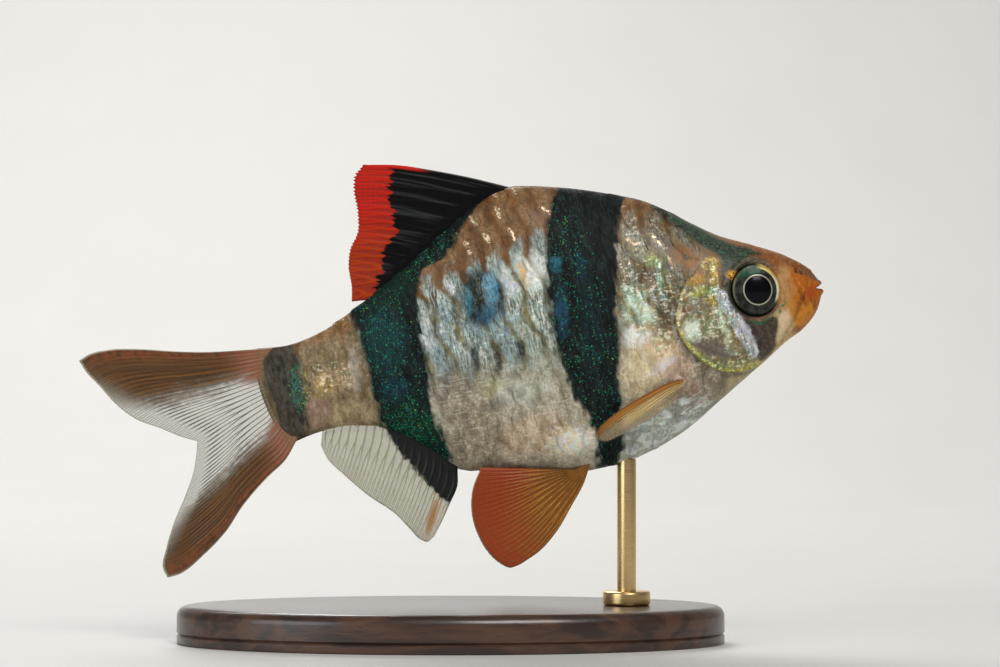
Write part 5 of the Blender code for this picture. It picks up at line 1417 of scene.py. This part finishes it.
def eye_finish():
    """A glossy eye: black pupil, thin pale ring, dark iris and a gold and green outer ring."""
    finish = Finish("eye", {"Coat Weight": 0.09, "Coat Roughness": 0.05, "Specular IOR Level": 0.1})
    finish.fish_frame()
    centre = finish.vector(finish.s - EYE_S + 0.17, (finish.h - EYE_H) / EYE_TALL)
    around = finish.vector(finish.s - SOCKET_S, (finish.h - EYE_H) / EYE_TALL)
    far, out = finish.length(centre), finish.length(around)
    x, z = finish.part(around)[:2]
    streaks = finish.noise(finish.vector(finish.maths("ARCTAN2", z, x) * 5.0, far * 0.7), 0.4, 3.0)
    cloud = finish.noise(finish.solid, 0.6, 4.0, None, 0.6)
    iris = finish.between(cloud, 0.35, 0.65, (0.006, 0.007, 0.007), (0.040, 0.042, 0.036))
    top = finish.spot((0.1, 1.6), (1.5, 0.40), 0, 0.6, around)
    iris = finish.mix(top * finish.ease(streaks, 0.3, 0.6), iris, (0.025, 0.11, 0.065))
    outer = finish.ease(out, 1.62, 1.9) * finish.ease(z, -1.6, -0.6)
    iris = finish.mix(outer * finish.ease(streaks, 0.25, 0.7) * 0.7, iris, (0.17, 0.19, 0.11))
    front = finish.ease(z * 0.3 - x, 0.85, 1.55)
    bright = front * finish.ease(out, 1.72, 1.80) * (finish.ease(cloud, 0.3, 0.5) * 0.3 + 0.7)
    iris = finish.mix(bright, iris, finish.between(z, 0.3, 1.2, (0.96, 0.93, 0.62), (0.86, 0.64, 0.20)))
    rear = finish.ease(x, 1.3, 1.7) * finish.ease(z, -1.2, 0.2) * finish.ease(out, 1.74, 1.84) * 0.6
    iris = finish.mix(rear, iris, (0.50, 0.52, 0.30))
    iris = finish.mix(finish.ease(out, 1.90, 1.98) * (1 - front), iris, (0.012, 0.012, 0.009))
    ring = finish.ease(far, PUPIL_RADIUS, PUPIL_RADIUS + 0.03)
    ring = ring * finish.ease(far, PUPIL_RADIUS + 0.14, PUPIL_RADIUS + 0.10)
    iris = finish.mix(ring * finish.ease(cloud, 0.2, 0.4), iris, (0.42, 0.41, 0.32))
    pupil = finish.ease(far, PUPIL_RADIUS + 0.02, PUPIL_RADIUS - 0.02)
    finish.feed("Base Color", finish.mix(pupil, iris, (0.0015, 0.0015, 0.003)))
    finish.feed("Metallic", finish.most(ring, bright) * 0.4)
    finish.feed("Roughness", 0.36 - pupil * 0.1)
    finish.feed("Normal", finish.bump(streaks * (1 - pupil), 0.015))
    return finish


def make_plinth(finish):
    """An oval wooden plinth with a rounded top edge and a fine cut line round its side."""
    deselect()
    bpy.ops.mesh.primitive_cylinder_add(
        vertices=160, radius=MM, depth=PLINTH_HEIGHT * MM, location=(0, 0, PLINTH_HEIGHT / 2 * MM))
    plinth = bpy.context.object
    plinth.name = plinth.data.name = "stand_plinth_wood"
    bpy.ops.object.mode_set(mode="EDIT")
    bpy.ops.mesh.select_all(action="SELECT")
    bpy.ops.transform.resize(value=(PLINTH_LENGTH / 2, PLINTH_WIDTH / 2, 1.0))
    for height in CUT_HEIGHTS:
        bpy.ops.mesh.select_all(action="SELECT")
        bpy.ops.mesh.bisect(plane_co=(0, 0, height * MM), plane_no=(0, 0, 1))
    select_level(plinth, CUT_HEIGHTS[1])
    bpy.ops.transform.resize(value=(1 - 2 * CUT_DEPTH / PLINTH_LENGTH, 1 - 2 * CUT_DEPTH / PLINTH_WIDTH, 1.0))
    select_level(plinth, PLINTH_HEIGHT)
    bpy.ops.mesh.bevel(offset=PLINTH_EDGE * MM, segments=8)
    select_level(plinth, 0.0)
    bpy.ops.mesh.bevel(offset=0.2 * MM, segments=3)
    bpy.ops.object.mode_set(mode="OBJECT")
    settle()
    hand_in(plinth, finish, "plinth", "stand_plinth")


def select_edges(piece, chosen):
    """Selects the edges whose two ends chosen is true for, in the piece's own coordinates."""
    bpy.ops.mesh.select_mode(type="EDGE")
    bpy.ops.mesh.select_all(action="DESELECT")
    bpy.ops.object.mode_set(mode="OBJECT")
    lift = piece.location
    corners = [vert.co + lift for vert in piece.data.vertices]
    for edge in piece.data.edges:
        a, b = edge.vertices
        edge.select = chosen(corners[a], corners[b])
    bpy.ops.object.mode_set(mode="EDIT")


def select_level(piece, height):
    """Selects the edges that lie at a height in millimetres."""
    select_edges(piece, lambda a, b: abs(a.z - height * MM) < 1e-6 and abs(b.z - height * MM) < 1e-6)


def settle():
    """Puts the active piece's place into its mesh and shades its round faces smooth."""
    bpy.ops.object.transform_apply(location=True, rotation=True, scale=True)
    bpy.ops.object.shade_smooth_by_angle(angle=math.radians(40))


def make_turned(name, x, low, high, radius, edge, finish, node):
    """A turned metal piece: a round bar with its end edges rounded off."""
    deselect()
    bpy.ops.mesh.primitive_cylinder_add(
        vertices=64, radius=radius * MM, depth=(high - low) * MM, location=(x * MM, 0, (low + high) / 2 * MM))
    piece = bpy.context.object
    piece.name = piece.data.name = name
    bpy.ops.object.mode_set(mode="EDIT")
    select_edges(piece, lambda a, b: abs(a.z - b.z) < 1e-7)
    bpy.ops.mesh.bevel(offset=edge * MM, segments=5)
    bpy.ops.object.mode_set(mode="OBJECT")
    settle()
    hand_in(piece, finish, "rod", node)


def wood_finish():
    """Dark polished wood with fine grain along the plinth."""
    finish = Finish("dark polished wood", {"Coat Weight": 0.5, "Coat Roughness": 0.15})
    place = finish.object_place()
    stretch = finish.signal("ShaderNodeMapping", 0, None, {"Vector": place, "Scale": (60.0, 900.0, 900.0)})
    bands = finish.signal("ShaderNodeTexNoise", 0, None,
                          {"Vector": stretch, "Scale": 1.0, "Detail": 5.0, "Distortion": 0.6})
    pores = finish.signal("ShaderNodeTexNoise", 0, None, {"Vector": stretch, "Scale": 6.0, "Detail": 2.0})
    made = finish.between(bands, 0.35, 0.65, (0.026, 0.011, 0.006), (0.085, 0.036, 0.017))
    made = finish.mix(finish.ease(pores, 0.62, 0.72) * 0.6, made, (0.012, 0.005, 0.003))
    finish.feed("Base Color", made)
    finish.feed("Roughness", bands * 0.2 + 0.28)
    finish.feed("Normal", finish.bump(bands + pores, 0.02))
    return finish


def brass_finish():
    """Satin brass with fine turning lines."""
    finish = Finish("satin brass", {"Metallic": 1.0})
    place = finish.object_place()
    rings = finish.signal("ShaderNodeMapping", 0, None, {"Vector": place, "Scale": (300.0, 300.0, 9000.0)})
    lines = finish.signal("ShaderNodeTexNoise", 0, None, {"Vector": rings, "Scale": 1.0, "Detail": 3.0})
    tone = finish.noise(place, 0.004, 3.0)
    finish.feed("Base Color", finish.mix(tone, (0.66, 0.44, 0.19), (0.80, 0.60, 0.30)))
    finish.feed("Roughness", lines * 0.2 + 0.2)
    finish.feed("Normal", finish.bump(lines, 0.006))
    return finish


def make_floor():
    """A pale floor that curves up into a plain backdrop."""
    finish = Finish("pale floor")
    place = finish.object_place()
    tone = finish.noise(place, 0.02, 3.0)
    finish.feed("Base Color", finish.mix(tone, (0.70, 0.69, 0.66), (0.74, 0.73, 0.70)))
    finish.feed("Roughness", tone * 0.1 + 0.55)
    turn = np.linspace(0, math.pi / 2, 24)
    radius, wall, near, top, side = 220.0, 260.0, -900.0, 900.0, 1200.0
    bend = zip(wall + radius * np.sin(turn), radius * (1 - np.cos(turn)))
    profile = [(near, 0.0), *bend, (wall + radius, top)]
    points = np.array([[(x, y, z) for x in (-side, -side / 3, side / 3, side)] for y, z in profile]) * MM
    floor = shaped_sheet("floor", points)
    floor.data.flip_normals()
    floor.data.materials.append(finish.material)


def area_light(name, place, aim, size, watts, tint=(1.0, 1.0, 1.0)):
    """A square soft light, in millimetres, turned to what it lights."""
    data = bpy.data.lights.new(name, "AREA")
    data.energy = watts
    data.size = size * MM
    data.color = tint
    light = bpy.data.objects.new(name, data)
    bpy.context.scene.collection.objects.link(light)
    light.location = [k * MM for k in place]
    way = np.array(aim, float) - place
    yaw = math.atan2(way[1], way[0]) - math.pi / 2
    down = math.atan2(math.hypot(way[0], way[1]), -way[2])
    light.rotation_euler = (down, 0.0, yaw)


def make_studio():
    """Soft studio lights, a pale surround and the camera at the photo's angle."""
    middle = (0, 0, 22)
    area_light("key", (230, -600, 680), middle, 380, 4.5, (1.0, 0.97, 0.93))
    area_light("fill", (-480, -420, 200), middle, 360, 1.2, (0.93, 0.97, 1.0))
    area_light("rim", (-100, 320, 340), middle, 220, 1.1)
    world = bpy.data.worlds.new("studio")
    world.use_nodes = True
    surround = world.node_tree.nodes["Background"].inputs
    surround["Color"].default_value = (0.95, 0.97, 1.0, 1.0)
    surround["Strength"].default_value = 0.18
    bpy.context.scene.world = world
    bpy.context.scene.view_settings.view_transform = "Standard"
    data = bpy.data.cameras.new("camera")
    data.lens, data.sensor_width = CAMERA_LENS, CAMERA_SENSOR
    data.clip_start = 0.01
    camera = bpy.data.objects.new("camera", data)
    bpy.context.scene.collection.objects.link(camera)
    camera.location = (CAMERA_X * MM, -CAMERA_AWAY * MM, CAMERA_Z * MM)
    camera.rotation_euler = (math.pi / 2, 0.0, 0.0)
    bpy.context.scene.camera = camera


def make_fins():
    """All the fins, each in its own finish."""
    make_fin("dorsal_fin_rays", [DORSAL], 10, 64, lambda u, v, s, h: 0.1 * v * np.sin(9 * math.pi * u),
             fin_finish("dorsal fin", BLACK, BLACK, 1.0, 1.0, paint_dorsal, 0.05),
             "dorsal_fin", ["dorsal_fin"], web=0.2)
    make_fin("anal_fin_rays", [ANAL], 18, 56, lambda u, v, s, h: 0.16 * v * np.sin(7 * math.pi * u),
             fin_finish("anal fin", (0.36, 0.37, 0.22), (0.36, 0.33, 0.18), 0.42, 0.8, paint_anal),
             "anal_fin", ["anal_fin"], steps=12, ray=0.3, notch=0.012)
    make_fin("tail_fin_rays", [TAIL_UPPER, TAIL_LOWER], TAIL_RAYS, 84,
             lambda u, v, s, h: TAIL_BEND * (s - TAIL_ROOT_S) ** 2,
             fin_finish("tail fin", (0.30, 0.31, 0.19), (0.060, 0.050, 0.022), 0.26, 0.75, paint_tail),
             "tail_fin", ["tail_fin_upper", "tail_fin_lower"], steps=10, web=0.16, ray=0.3, notch=0.006)
    pelvic = fin_finish("pelvic fin", (0.26, 0.085, 0.009), (0.40, 0.17, 0.020), 0.86, 0.95, paint_pelvic)
    pectoral = fin_finish("pectoral fin", (0.46, 0.38, 0.24), (0.50, 0.36, 0.18), 0.34, 0.55, paint_pectoral,
                          jointed=0.0)
    for word, side in (("right", RIGHT), ("left", LEFT)):
        def pelvic_lie(u, v, s, h, side=side):
            return side * (1.15 + PELVIC_SPREAD[side] * v * (1.0 - 0.35 * u) + 0.12 * v * np.sin(9 * u))

        def pectoral_lie(u, v, s, h, side=side):
            return side * (side_y(s, h) - 0.5 + 1.7 * np.sqrt(v) + 0.5 * v * u)

        lines = turned(PELVIC, PELVIC["base"][0], PELVIC_TURN[side])
        make_fin(f"pelvic_fin_{word}_rays", [lines], 12, 56, pelvic_lie, pelvic, "pelvic_fin",
                 [f"pelvic_fin_{word}"], steps=12, web=0.2, ray=0.34, notch=0.006)
        make_fin(f"pectoral_fin_{word}_rays", [PECTORAL], 10, 44, pectoral_lie, pectoral, "pectoral_fin",
                 [f"pectoral_fin_{word}"], steps=24, web=0.1, ray=0.22)


def main():
    """Makes every piece and the studio."""
    make_skin(skin_finish())
    scales = scale_finish()
    make_coat(RIGHT, "scales_right", scales, 11)
    make_coat(LEFT, "scales_left", scales, 12)
    make_fins()
    eyes = eye_finish()
    make_eye("eye_right", RIGHT, eyes)
    make_eye("eye_left", LEFT, eyes)
    brass = brass_finish()
    make_plinth(wood_finish())
    rod_x, _, belly_z = in_pose((ROD_S, 0.0, float(belly_at(ROD_S)))) / MM
    make_turned("stand_rod_brass", rod_x, ROD_FOOT, belly_z + ROD_SUNK, ROD_RADIUS, 0.1, brass, "stand_rod")
    make_turned("stand_collar_brass", rod_x, PLINTH_HEIGHT, PLINTH_HEIGHT + COLLAR_HEIGHT, COLLAR_RADIUS,
                0.25, brass, "stand_collar")
    make_floor()
    make_studio()


main()
